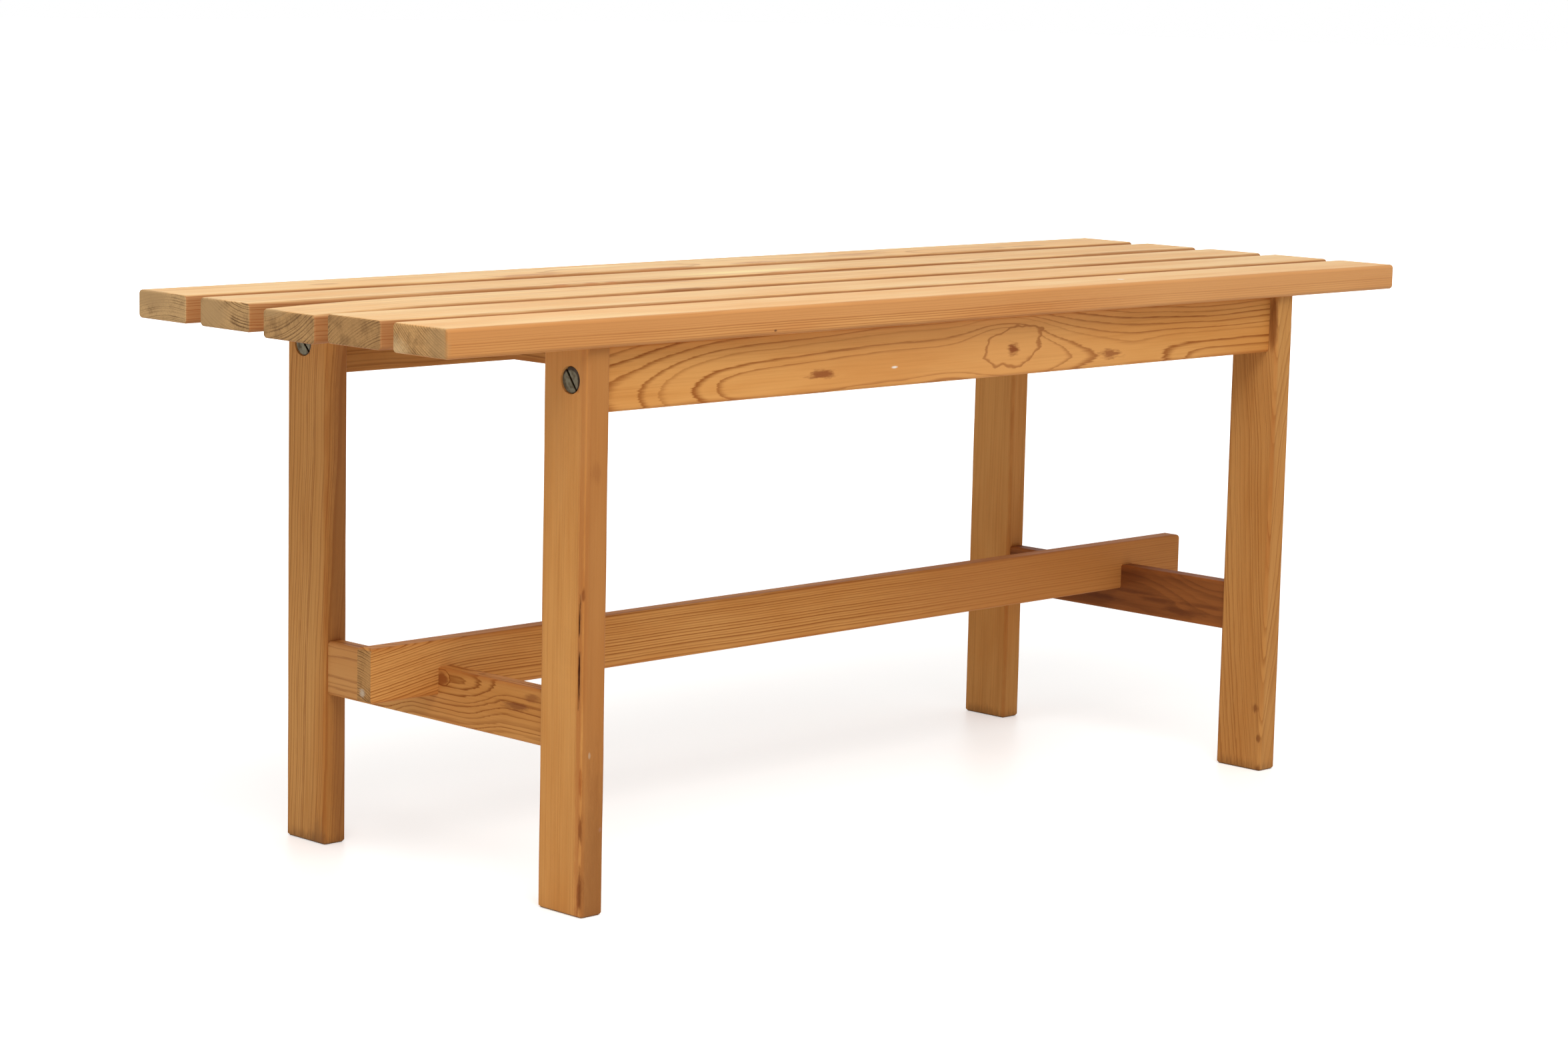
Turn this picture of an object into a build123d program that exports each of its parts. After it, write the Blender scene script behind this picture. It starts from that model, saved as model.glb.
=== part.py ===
from build123d import *
import os
from math import atan2, degrees

# A slatted pine bench that comes apart. Five slats lie on two long aprons and two end
# frames. Each end frame is two flat legs and a low cross rail. The aprons are bolted
# between the legs, and a low stretcher is halved over both cross rails.
#
# Millimetres. The origin is on the floor under the middle of the bench, +Z is up, +X
# runs along the slats to the right end, and -Y is the front.

# ---- driving sizes: the whole bench
BENCH_LENGTH = 1118.0
BENCH_DEPTH = 370.0
BENCH_HEIGHT = 450.0

# ---- driving sizes: planed stock
SLAT_WIDTH = 61.5
SLAT_THICK = 22.0
LEG_WIDTH = 50.0
LEG_THICK = 22.0
APRON_HEIGHT = 50.0
APRON_THICK = 22.0
RAIL_HEIGHT = 43.0
RAIL_THICK = 16.0
BATTEN_WIDTH = 43.0
BATTEN_THICK = 19.0

# ---- driving sizes: where the members stand
SLAT_GAPS = (13.5, 15.0, 16.5, 17.5)  # front to back, set by eye and a little wider behind
END_OVERHANG = 139.0  # slat end to the legs' outer faces
SIDE_OVERHANG = 6.0  # outer slat's edge to the legs' outer edges
APRON_SETBACK = 9.0  # legs' outer edge to the apron's outer face
CROSS_RAIL_BOTTOM = 123.0
STRETCHER_BOTTOM = 144.0
STRETCHER_LENGTH = 968.0

# ---- driving sizes: worked edges
SLAT_ROUND = 3.0
LEG_ROUND = 3.0
APRON_ROUND = 2.5
RAIL_ROUND = 2.0
STRETCHER_CORNER = 4.0
FOOT_BEVEL = 2.0

# ---- driving sizes: joints
TENON_LENGTH = 30.0
TENON_SHOULDER_SIDE = 3.0
TENON_SHOULDER_EDGE = 5.0

# ---- driving sizes: slotted bolts and the barrel nuts that they pull on
BOLT_DIAMETER = 8.0
BOLT_HOLE_DIAMETER = 8.5
BOLT_LENGTH = 70.0  # its end stays inside the nut
BOLT_HEAD_DIAMETER = 19.5
BOLT_HEAD_THICK = 4.0
BOLT_SLOT_WIDTH = 1.6
BOLT_SLOT_DEPTH = 1.8
COUNTERBORE_DIAMETER = 21.0
COUNTERBORE_DEPTH = 5.0
NUT_DIAMETER = 12.0
NUT_LENGTH = 14.0
NUT_FROM_APRON_END = 48.0
NUT_SLOT_WIDTH = 1.5
NUT_SLOT_DEPTH = 1.5

# ---- driving sizes: fluted dowel pins
PIN_DIAMETER = 8.0
PIN_BEVEL = 0.8
APRON_PIN_IN_LEG = 12.0
APRON_PIN_IN_APRON = 26.0
APRON_PIN_SPREAD = 30.0  # the upper pin to the lower
TOP_PIN_IN_LEG = 18.0
TOP_PIN_IN_SLAT = 12.0
TOP_PIN_FROM_INNER_EDGE = 15.0

# ---- driving sizes: countersunk wood screws
BATTEN_SCREW = {"head": 8.0, "shank": 4.0, "length": 30.0, "tip": 4.0}
LAP_SCREW = {"head": 9.0, "shank": 4.5, "length": 48.0, "tip": 4.5}
SCREW_POINT_DIAMETER = 0.6
SCREW_STAGGER = 16.0  # from one screw to the next along X, so that they don't split one line of grain
SCREW_EDGE_ROOM = 4.0  # kept clear at a batten's end

# ---- small round pieces and their holes are eight-sided, to keep their facets few
SMALL_ROUND_SIDES = 8

# ---- the ends and sides of the bench, as directions along X and Y
ENDS = {"left": -1, "right": 1}
SIDES = {"front": -1, "back": 1}
BOLT_SLOT_ANGLES = {
    ("left", "front"): 54.0,
    ("left", "back"): 45.0,
    ("right", "front"): 20.0,
    ("right", "back"): 75.0,
}

# ---- worked out from the driving sizes
FRAME_TOP = BENCH_HEIGHT - SLAT_THICK
LEG_OUTER_X = BENCH_LENGTH / 2 - END_OVERHANG
LEG_INNER_X = LEG_OUTER_X - LEG_THICK
LEG_OUTER_Y = BENCH_DEPTH / 2 - SIDE_OVERHANG
LEG_INNER_Y = LEG_OUTER_Y - LEG_WIDTH
APRON_OUTER_Y = LEG_OUTER_Y - APRON_SETBACK
APRON_INNER_Y = APRON_OUTER_Y - APRON_THICK
APRON_MIDDLE_Y = (APRON_OUTER_Y + APRON_INNER_Y) / 2
APRON_MIDDLE_Z = FRAME_TOP - APRON_HEIGHT / 2
RAIL_OUTER_X = LEG_OUTER_X - (LEG_THICK - RAIL_THICK) / 2
RAIL_INNER_X = RAIL_OUTER_X - RAIL_THICK
RAIL_MIDDLE_X = (RAIL_OUTER_X + RAIL_INNER_X) / 2
CROSS_RAIL_TOP = CROSS_RAIL_BOTTOM + RAIL_HEIGHT
LAP_LEVEL = (CROSS_RAIL_TOP + STRETCHER_BOTTOM) / 2
BATTEN_BOTTOM = FRAME_TOP - BATTEN_THICK
SLAT_PITCHES = [SLAT_WIDTH + gap for gap in SLAT_GAPS]
SLAT_NAMES = ("slat_front", "slat_second", "slat_middle", "slat_fourth", "slat_back")
SLAT_FRONTS = [
    -BENCH_DEPTH / 2 + sum(SLAT_PITCHES[:number]) for number in range(len(SLAT_NAMES))
]
BATTEN_MIDDLES = {
    "left": -LEG_INNER_X + BATTEN_WIDTH / 2,
    "middle": 0.0,
    "right": LEG_INNER_X - BATTEN_WIDTH / 2,
}


def span(side, inner, outer):
    """Low and high of a stretch that lies between two distances on one side of zero."""
    return tuple(sorted((side * inner, side * outer)))


def about(middle, width):
    """Low and high of a stretch of a given width about its middle."""
    return (middle - width / 2, middle + width / 2)


def block(x, y, z):
    """Box between three (low, high) pairs."""
    sizes = [high - low for low, high in (x, y, z)]
    middle = [(low + high) / 2 for low, high in (x, y, z)]
    return Pos(*middle) * Box(*sizes)


def planed_bar(x, y, z, along, edge_round):
    """Bar with the four edges that run one way rounded."""
    bar = block(x, y, z)
    return fillet(bar.edges().filter_by(along), edge_round)


def rod(diameter, start, direction, length):
    """Plain cylinder from a start point along a direction."""
    return Plane(origin=start, z_dir=direction) * Cylinder(
        diameter / 2, length, align=(Align.CENTER, Align.CENTER, Align.MIN)
    )


def turned(points):
    """Solid turned about Z from (radius, height) points that start and end on the axis."""
    return revolve(Plane.XZ * make_face(Polyline(*points, close=True)), Axis.Z)


def many_sided(diameter, bottom, top, top_diameter=None):
    """Eight-sided bar along Z, or one that narrows to another diameter at its top."""
    outline = Pos(0, 0, bottom) * RegularPolygon(diameter / 2, SMALL_ROUND_SIDES)
    narrowing = (diameter - (top_diameter or diameter)) / 2
    taper = degrees(atan2(narrowing, top - bottom))
    return extrude(outline, top - bottom, taper=taper)


# ---------------------------------------------------------------- fasteners and pins


def slotted_bolt(slot_angle):
    """Bolt with a flat slotted head: the head's underside is at Z = 0, the shank goes up."""
    head_radius = BOLT_HEAD_DIAMETER / 2
    shank_radius = BOLT_DIAMETER / 2
    bolt = turned([
        (0, -BOLT_HEAD_THICK),
        (head_radius, -BOLT_HEAD_THICK),
        (head_radius, 0),
        (shank_radius, 0),
        (shank_radius, BOLT_LENGTH),
        (0, BOLT_LENGTH),
    ])
    slot = block(
        about(0, 2 * BOLT_HEAD_DIAMETER),
        about(0, BOLT_SLOT_WIDTH),
        about(-BOLT_HEAD_THICK, 2 * BOLT_SLOT_DEPTH),
    )
    return bolt - Rot(0, 0, slot_angle) * slot


def barrel_nut():
    """Barrel nut standing on Z = 0, its cross hole along X and a screwdriver slot on top."""
    nut = rod(NUT_DIAMETER, (0, 0, 0), (0, 0, 1), NUT_LENGTH)
    cross_hole = rod(BOLT_DIAMETER, (-NUT_DIAMETER, 0, NUT_LENGTH / 2), (1, 0, 0), 2 * NUT_DIAMETER)
    slot = block(
        about(0, 2 * NUT_DIAMETER), about(0, NUT_SLOT_WIDTH), about(NUT_LENGTH, 2 * NUT_SLOT_DEPTH)
    )
    return nut - cross_hole - slot


def dowel_pin(length):
    """Wooden pin along Z from zero, bevelled at both ends. Its flats stand for its flutes."""
    pin = many_sided(PIN_DIAMETER, 0, length)
    rims = pin.edges().group_by(Axis.Z)
    return chamfer(rims[0] + rims[-1], PIN_BEVEL)


def wood_screw(sizes):
    """Countersunk screw: the head's flat is at Z = 0, and the point goes up."""
    head_depth = (sizes["head"] - sizes["shank"]) / 2
    tip_start = sizes["length"] - sizes["tip"]
    head = many_sided(sizes["head"], 0, head_depth, sizes["shank"])
    shank = many_sided(sizes["shank"], head_depth, tip_start)
    tip = many_sided(sizes["shank"], tip_start, sizes["length"], SCREW_POINT_DIAMETER)
    return head + shank + tip


# ---------------------------------------------------------------- places of the fasteners


def bolt_place(end, side):
    """Plane of a bolt: its origin is the counterbore's floor, and Z points into the bench."""
    head_x = ENDS[end] * (LEG_OUTER_X - COUNTERBORE_DEPTH)
    origin = (head_x, SIDES[side] * APRON_MIDDLE_Y, APRON_MIDDLE_Z)
    return Plane(origin=origin, x_dir=(0, -ENDS[end], 0), z_dir=(-ENDS[end], 0, 0))


def nut_place(end, side):
    """Plane of a barrel nut: its foot is deep in the apron, and Z points to the inner face."""
    nut_x = ENDS[end] * (LEG_INNER_X - NUT_FROM_APRON_END)
    nut_y = SIDES[side] * (APRON_MIDDLE_Y + NUT_LENGTH / 2)
    origin = (nut_x, nut_y, APRON_MIDDLE_Z)
    return Plane(origin=origin, x_dir=(1, 0, 0), z_dir=(0, -SIDES[side], 0))


def apron_pin_places(end, side):
    """Planes of one apron end's two pins, each from its depth in the leg into the apron."""
    start_x = ENDS[end] * (LEG_INNER_X + APRON_PIN_IN_LEG)
    return [
        Plane(origin=(start_x, SIDES[side] * APRON_MIDDLE_Y, level), z_dir=(-ENDS[end], 0, 0))
        for level in about(APRON_MIDDLE_Z, APRON_PIN_SPREAD)
    ]


def top_pin_place(end, side):
    """Place of the pin that stands in a leg's top."""
    pin_x = ENDS[end] * (LEG_OUTER_X + LEG_INNER_X) / 2
    pin_y = SIDES[side] * (LEG_INNER_Y + TOP_PIN_FROM_INNER_EDGE)
    return Pos(pin_x, pin_y, FRAME_TOP - TOP_PIN_IN_LEG)


def batten_screw_places(batten):
    """Places of a batten's screws: one for each slat, staggered."""
    screw_reach = APRON_INNER_Y - SCREW_EDGE_ROOM
    places = []
    for number, front in enumerate(SLAT_FRONTS):
        low = max(front, -screw_reach)
        high = min(front + SLAT_WIDTH, screw_reach)
        way = 1 if number % 2 else -1
        screw_x = BATTEN_MIDDLES[batten] + way * SCREW_STAGGER / 2
        places.append(Pos(screw_x, (low + high) / 2, BATTEN_BOTTOM))
    return places


def lap_screw_place(end):
    """Place of the screw that comes up through a cross rail into the stretcher."""
    return Pos(ENDS[end] * RAIL_MIDDLE_X, 0, CROSS_RAIL_BOTTOM)


# ---------------------------------------------------------------- wooden members


def make_slat(number):
    """Top slat, drilled from below for its screws and, if it is an outer one, for its pins."""
    front = SLAT_FRONTS[number]
    slat = planed_bar(
        about(0, BENCH_LENGTH),
        (front, front + SLAT_WIDTH),
        (FRAME_TOP, BENCH_HEIGHT),
        Axis.X,
        SLAT_ROUND,
    )
    for batten in BATTEN_MIDDLES:
        slat -= batten_screw_places(batten)[number] * wood_screw(BATTEN_SCREW)
    outer_side = {0: "front", len(SLAT_FRONTS) - 1: "back"}.get(number)
    if outer_side:
        for end in ENDS:
            slat -= top_pin_place(end, outer_side) * dowel_pin(TOP_PIN_IN_LEG + TOP_PIN_IN_SLAT)
    return slat


def make_batten(batten):
    """Flat cross batten between the aprons, countersunk from below for its screws."""
    member = block(
        about(BATTEN_MIDDLES[batten], BATTEN_WIDTH),
        about(0, 2 * APRON_INNER_Y),
        (BATTEN_BOTTOM, FRAME_TOP),
    )
    for place in batten_screw_places(batten):
        member -= place * wood_screw(BATTEN_SCREW)
    return member


def make_leg(end, side):
    """Flat leg: mortise for the cross rail, counterbored bolt hole and blind pin holes."""
    leg = planed_bar(
        span(ENDS[end], LEG_INNER_X, LEG_OUTER_X),
        span(SIDES[side], LEG_INNER_Y, LEG_OUTER_Y),
        (0, FRAME_TOP),
        Axis.Z,
        LEG_ROUND,
    )
    leg = chamfer(leg.faces().sort_by(Axis.Z)[0].edges(), FOOT_BEVEL)
    leg -= tenon(end, side)
    leg -= bolt_place(end, side) * rod(BOLT_HOLE_DIAMETER, (0, 0, 0), (0, 0, 1), LEG_THICK)
    leg -= bolt_place(end, side) * rod(
        COUNTERBORE_DIAMETER, (0, 0, 0), (0, 0, -1), 2 * COUNTERBORE_DEPTH
    )
    for place in apron_pin_places(end, side):
        leg -= place * dowel_pin(APRON_PIN_IN_LEG + APRON_PIN_IN_APRON)
    leg -= top_pin_place(end, side) * dowel_pin(TOP_PIN_IN_LEG + TOP_PIN_IN_SLAT)
    return leg


def make_apron(side):
    """Long apron between the legs: at each end a bolt hole, a nut hole and two pin holes."""
    apron = planed_bar(
        about(0, 2 * LEG_INNER_X),
        span(SIDES[side], APRON_INNER_Y, APRON_OUTER_Y),
        (FRAME_TOP - APRON_HEIGHT, FRAME_TOP),
        Axis.X,
        APRON_ROUND,
    )
    for end in ENDS:
        apron -= bolt_place(end, side) * rod(BOLT_HOLE_DIAMETER, (0, 0, 0), (0, 0, 1), BOLT_LENGTH)
        apron -= nut_place(end, side) * rod(NUT_DIAMETER, (0, 0, 0), (0, 0, 1), APRON_THICK)
        for place in apron_pin_places(end, side):
            apron -= place * dowel_pin(APRON_PIN_IN_LEG + APRON_PIN_IN_APRON)
    return apron


def tenon(end, side):
    """Tenon on a cross rail's end, and so also the mortise that it fills in the leg."""
    rail_x = span(ENDS[end], RAIL_INNER_X + TENON_SHOULDER_SIDE, RAIL_OUTER_X - TENON_SHOULDER_SIDE)
    rail_z = (CROSS_RAIL_BOTTOM + TENON_SHOULDER_EDGE, CROSS_RAIL_TOP - TENON_SHOULDER_EDGE)
    return block(rail_x, span(SIDES[side], LEG_INNER_Y, LEG_INNER_Y + TENON_LENGTH), rail_z)


def make_cross_rail(end):
    """Low cross rail: a tenon at each end and a notch from above for the stretcher."""
    rail_x = span(ENDS[end], RAIL_INNER_X, RAIL_OUTER_X)
    rail_z = (CROSS_RAIL_BOTTOM, CROSS_RAIL_TOP)
    rail = planed_bar(rail_x, about(0, 2 * LEG_INNER_Y), rail_z, Axis.Y, RAIL_ROUND)
    for side in SIDES:
        rail += tenon(end, side)
    notch_x = about(ENDS[end] * RAIL_MIDDLE_X, 2 * RAIL_THICK)
    rail -= block(notch_x, about(0, RAIL_THICK), (LAP_LEVEL, CROSS_RAIL_TOP + RAIL_HEIGHT))
    rail -= lap_screw_place(end) * wood_screw(LAP_SCREW)
    return rail


def make_stretcher():
    """Long low stretcher on edge, round-cornered, notched from below over each cross rail."""
    rail_x = about(0, STRETCHER_LENGTH)
    rail_z = (STRETCHER_BOTTOM, STRETCHER_BOTTOM + RAIL_HEIGHT)
    bar = planed_bar(rail_x, about(0, RAIL_THICK), rail_z, Axis.X, RAIL_ROUND)
    outline = planed_bar(rail_x, about(0, 2 * RAIL_THICK), rail_z, Axis.Y, STRETCHER_CORNER)
    stretcher = bar & outline
    for end in ENDS:
        notch_x = span(ENDS[end], RAIL_INNER_X, RAIL_OUTER_X)
        stretcher -= block(notch_x, about(0, 2 * RAIL_THICK), (0, LAP_LEVEL))
        stretcher -= lap_screw_place(end) * wood_screw(LAP_SCREW)
    return stretcher


# ---------------------------------------------------------------- the bench


def make_bench():
    """Every piece of the bench by its node's name."""
    pieces = {}
    for number, name in enumerate(SLAT_NAMES):
        pieces[name] = make_slat(number)
    for batten in BATTEN_MIDDLES:
        pieces[f"batten_{batten}"] = make_batten(batten)
        pieces[f"batten_screws_{batten}"] = Compound([
            place * wood_screw(BATTEN_SCREW) for place in batten_screw_places(batten)
        ])
    for end in ENDS:
        pieces[f"cross_rail_{end}"] = make_cross_rail(end)
        pieces[f"lap_screw_{end}"] = lap_screw_place(end) * wood_screw(LAP_SCREW)
    pieces["stretcher"] = make_stretcher()
    for side in SIDES:
        pieces[f"apron_{side}"] = make_apron(side)
    for (end, side), slot_angle in BOLT_SLOT_ANGLES.items():
        corner = f"{side}_{end}"
        pieces[f"leg_{corner}"] = make_leg(end, side)
        pieces[f"bolt_{corner}"] = bolt_place(end, side) * slotted_bolt(slot_angle)
        pieces[f"barrel_nut_{corner}"] = nut_place(end, side) * barrel_nut()
        pieces[f"apron_pins_{corner}"] = Compound([
            place * dowel_pin(APRON_PIN_IN_LEG + APRON_PIN_IN_APRON)
            for place in apron_pin_places(end, side)
        ])
        pieces[f"top_pin_{corner}"] = top_pin_place(end, side) * dowel_pin(
            TOP_PIN_IN_LEG + TOP_PIN_IN_SLAT
        )
    return pieces


os.makedirs("parts", exist_ok=True)
for node, shape in make_bench().items():
    export_step(shape, f"parts/{node}.step")
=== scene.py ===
"""Dresses a demountable slatted bench: worn pine members, slotted steel and a plain studio.

Metres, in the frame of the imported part: +Z up, +X along the slats, -Y the front.
"""

import logging
import math
from collections.abc import Iterable
from dataclasses import dataclass, field, fields, replace
from enum import Enum

import bmesh
import bpy
from mathutils import Matrix, Vector, noise

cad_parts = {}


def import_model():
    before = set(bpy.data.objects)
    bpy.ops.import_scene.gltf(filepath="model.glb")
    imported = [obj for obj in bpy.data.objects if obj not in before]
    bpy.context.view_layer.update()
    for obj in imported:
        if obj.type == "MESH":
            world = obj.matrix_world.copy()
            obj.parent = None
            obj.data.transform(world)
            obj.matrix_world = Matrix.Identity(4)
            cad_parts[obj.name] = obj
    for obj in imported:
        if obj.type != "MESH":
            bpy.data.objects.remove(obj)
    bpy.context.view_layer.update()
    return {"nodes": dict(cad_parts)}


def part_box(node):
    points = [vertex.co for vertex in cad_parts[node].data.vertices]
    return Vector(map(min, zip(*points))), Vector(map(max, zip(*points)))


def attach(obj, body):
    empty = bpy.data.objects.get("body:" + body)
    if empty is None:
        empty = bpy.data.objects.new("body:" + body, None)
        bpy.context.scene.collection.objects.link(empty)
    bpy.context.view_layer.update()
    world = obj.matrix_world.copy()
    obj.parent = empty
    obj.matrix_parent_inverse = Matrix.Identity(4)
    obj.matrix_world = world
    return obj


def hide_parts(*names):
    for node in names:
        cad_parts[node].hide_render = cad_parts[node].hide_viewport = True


LOG = logging.getLogger("bench")
BODY = "root"
WELD = 1e-6  # corners nearer than this are one
SMOOTH_BELOW = math.radians(32.0)  # where faces meet at less than this, they shade as one
FLAT_SHADING = "flat faces stay flat"
MIX_COLOURS = (6, 7)  # the Mix node's two colour sockets

Tint = tuple[float, float, float]
Triple = tuple[float, float, float]
Socket = bpy.types.NodeSocket
Feed = Socket | float | Triple | tuple[float, float, float, float]


def tint(red: int, green: int, blue: int) -> Tint:
    """Turns the three numbers of a paint chart into a linear colour.

    Args:
        red: Red from 0 to 255.
        green: Green from 0 to 255.
        blue: Blue from 0 to 255.

    Returns:
        The linear colour.
    """

    def linear(channel: int) -> float:
        """One channel of a screen colour, as light."""
        share = channel / 255
        return share / 12.92 if share <= 0.04045 else ((share + 0.055) / 1.055) ** 2.4

    return (linear(red), linear(green), linear(blue))


# ---------------------------------------------------------------- shader nodes


class NodeSheet:
    """A new material, with short ways to lay out and join its nodes."""

    def __init__(self, name: str) -> None:
        """Starts an empty material.

        Args:
            name: The material's name.
        """
        self.material = bpy.data.materials.new(name)
        self.material.use_nodes = True
        self.tree = self.material.node_tree
        self.tree.nodes.clear()

    @classmethod
    def over(cls, tree: bpy.types.NodeTree) -> "NodeSheet":
        """Starts again on a tree of nodes that isn't a material's.

        Args:
            tree: The tree, which loses its own nodes.

        Returns:
            The sheet, which has no material.
        """
        sheet = cls.__new__(cls)
        sheet.tree = tree
        sheet.tree.nodes.clear()
        return sheet

    def feed(self, socket: Socket, value: Feed) -> None:
        """Joins a socket to another, or sets its own value.

        Args:
            socket: The socket that takes it in.
            value: The other socket, or the value.
        """
        if isinstance(value, bpy.types.NodeSocket):
            self.tree.links.new(value, socket)
        else:
            socket.default_value = value

    def node(
        self, kind: str, inputs: dict[str | int, Feed] | None = None, **settings: object
    ) -> bpy.types.Node:
        """Adds one node.

        Args:
            kind: The node's type.
            inputs: What goes into its sockets, by their name or number.
            **settings: The node's own properties.

        Returns:
            The new node.
        """
        made = self.tree.nodes.new(kind)
        for setting, value in settings.items():
            setattr(made, setting, value)
        for socket, value in (inputs or {}).items():
            self.feed(made.inputs[socket], value)
        return made

    def calc(self, operation: str, *values: Feed) -> Socket:
        """Does one sum on numbers, by its name in the Math node."""
        return self.node("ShaderNodeMath", dict(enumerate(values)), operation=operation).outputs[0]

    def times(self, value: Feed, share: Feed) -> Socket:
        """Multiplies two values."""
        return self.calc("MULTIPLY", value, share)

    def rest(self, value: Feed) -> Socket:
        """What a value from 0 to 1 leaves of 1."""
        return self.calc("SUBTRACT", 1.0, value)

    def total(self, values: Iterable[Feed]) -> Feed:
        """Adds several values up.

        Args:
            values: One value or more.

        Returns:
            Their sum.
        """
        total, *others = values
        for value in others:
            total = self.calc("ADD", total, value)
        return total

    def span(self, value: Feed, low: float, high: float) -> Socket:
        """Rises smoothly from 0 to 1 as a value goes from one number to another.

        Args:
            value: The value.
            low: The number at which it is 0.
            high: The number at which it is 1.

        Returns:
            The socket of what rises.
        """
        made = self.node(
            "ShaderNodeMapRange",
            {"Value": value, "From Min": low, "From Max": high},
            interpolation_type="SMOOTHSTEP",
        )
        return made.outputs["Result"]

    def swing(self, value: Feed, reach: float) -> Socket:
        """Turns a 0 to 1 value into one from -reach to reach."""
        return self.calc("MULTIPLY_ADD", value, 2 * reach, -reach)

    def blend(self, share: Feed, under: Feed, over: Feed) -> Socket:
        """Lays one colour over another.

        Args:
            share: How much of the upper colour shows, from 0 to 1.
            under: The lower colour.
            over: The upper colour.

        Returns:
            The colour's socket.
        """
        made = self.node("ShaderNodeMix", {0: share}, data_type="RGBA")
        for socket, colour in zip(MIX_COLOURS, (under, over)):
            joined = isinstance(colour, bpy.types.NodeSocket)
            self.feed(made.inputs[socket], colour if joined else (*colour, 1.0))
        return made.outputs[2]

    def place(self) -> Socket:
        """Each point's place, in the bench's frame."""
        return self.node("ShaderNodeTexCoord").outputs["Object"]

    def vector(self, x: Feed, y: Feed, z: Feed) -> Socket:
        """Joins three numbers into a vector."""
        return self.node("ShaderNodeCombineXYZ", {0: x, 1: y, 2: z}).outputs[0]

    def parts(self, vector: Feed) -> bpy.types.NodeOutputs:
        """Takes a vector apart into its three numbers."""
        return self.node("ShaderNodeSeparateXYZ", {0: vector}).outputs

    def vectors(self, operation: str, *values: Feed) -> Socket:
        """Does one sum on vectors, by its name in the Vector Math node."""
        made = self.node("ShaderNodeVectorMath", dict(enumerate(values)), operation=operation)
        return made.outputs["Value" if operation == "LENGTH" else "Vector"]

    def noise(self, place: Feed, detail: float = 2.0, roughness: float = 0.5) -> Socket:
        """Cloudy noise from 0 to 1, at a place.

        Args:
            place: The place, in units of one grain.
            detail: How many finer layers the noise has.
            roughness: How strong each finer layer is.

        Returns:
            The noise's socket.
        """
        made = self.node(
            "ShaderNodeTexNoise",
            {"Vector": place, "Scale": 1.0, "Detail": detail, "Roughness": roughness},
        )
        return made.outputs[0]

    def noise_line(self, place: Feed, detail: float = 1.0) -> Socket:
        """Noise from 0 to 1 along one number.

        Args:
            place: The number, in units of one grain.
            detail: How many finer layers the noise has.

        Returns:
            The noise's socket.
        """
        made = self.node(
            "ShaderNodeTexNoise",
            {"W": place, "Scale": 1.0, "Detail": detail},
            noise_dimensions="1D",
        )
        return made.outputs[0]

    def seen(self) -> Socket:
        """Tells apart what is seen, straight, mirrored or through glass, and what only gives light.

        Returns:
            A socket that is 1 where something is seen, and else 0.
        """
        path = self.node("ShaderNodeLightPath").outputs
        straight = self.calc("MAXIMUM", path["Is Camera Ray"], path["Is Glossy Ray"])
        return self.calc("MAXIMUM", straight, path["Is Transmission Ray"])

    def finish(
        self,
        colour: Feed,
        roughness: Feed,
        height: Feed,
        depth: float,
        **sockets: float,
    ) -> bpy.types.Material:
        """Closes the sheet with one surface shader.

        Args:
            colour: The surface's colour.
            roughness: How matt it is.
            height: Its relief, from 0 to 1.
            depth: How deep that relief is, in metres.
            **sockets: Numbers for the shader's other sockets, with _ for each space.

        Returns:
            The finished material.
        """
        bump = self.node("ShaderNodeBump", {"Height": height, "Distance": depth})
        shader = self.node(
            "ShaderNodeBsdfPrincipled",
            {"Base Color": colour, "Roughness": roughness, "Normal": bump.outputs[0]},
        )
        for socket, value in sockets.items():
            shader.inputs[socket.replace("_", " ")].default_value = value
        out = self.node("ShaderNodeOutputMaterial")
        self.tree.links.new(shader.outputs[0], out.inputs["Surface"])
        return self.material


# ---------------------------------------------------------------- how the timber was sawn


@dataclass(frozen=True)
class Box:
    """The box round one solid, in the bench's frame.

    Attributes:
        low: Its lowest corner.
        high: Its highest corner.
    """

    low: Vector
    high: Vector

    @classmethod
    def of(cls, node: str) -> "Box":
        """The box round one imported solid."""
        return cls(*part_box(node))

    @property
    def middle(self) -> Vector:
        """Its middle."""
        return (self.low + self.high) / 2

    @property
    def half(self) -> Vector:
        """Half its size along each axis."""
        return (self.high - self.low) / 2


class Grain(Enum):
    """The way that a member's grain runs, with the order of its axes: along, then across."""

    LENGTHWISE = (0, 1, 2)
    CROSSWISE = (1, 0, 2)
    UPRIGHT = (2, 0, 1)


@dataclass(frozen=True)
class Bend:
    """A stretch over which the log's heart line moves aside.

    Attributes:
        start: Where it starts, along the member from its middle.
        end: Where it ends.
        shift: How far the heart line has then moved, on both axes across the grain.
    """

    start: float
    end: float
    shift: tuple[float, float]


@dataclass(frozen=True)
class Cut:
    """Where a member was sawn from its log.

    Attributes:
        heart: The log's heart line from the member's middle, across the grain.
        pitch: One growth ring to the next.
        lean: The heart line's drift for each metre along the member.
        bends: Where the heart line moves aside.
        wander: How far the heart line strays to either side.
        ripple: How uneven each ring is.
        uneven: How much the rings differ in width, in rings.
        jag: How far single fibres pull a ring's line about, in rings.
        clear: Radius about the heart line in which no dark lines show.
        late: The share of a ring that is late wood.
        contrast: How dark the late wood is.
        seed: A number of the member's own, for its small irregularities.
    """

    heart: tuple[float, float]
    pitch: float = 0.0026
    lean: tuple[float, float] = (0.0, 0.0)
    bends: tuple[Bend, ...] = ()
    wander: float = 0.003
    ripple: float = 0.0007
    uneven: float = 1.1
    jag: float = 0.16
    clear: float = 0.0
    late: float = 0.6
    contrast: float = 1.0
    seed: float = 0.0


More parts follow.
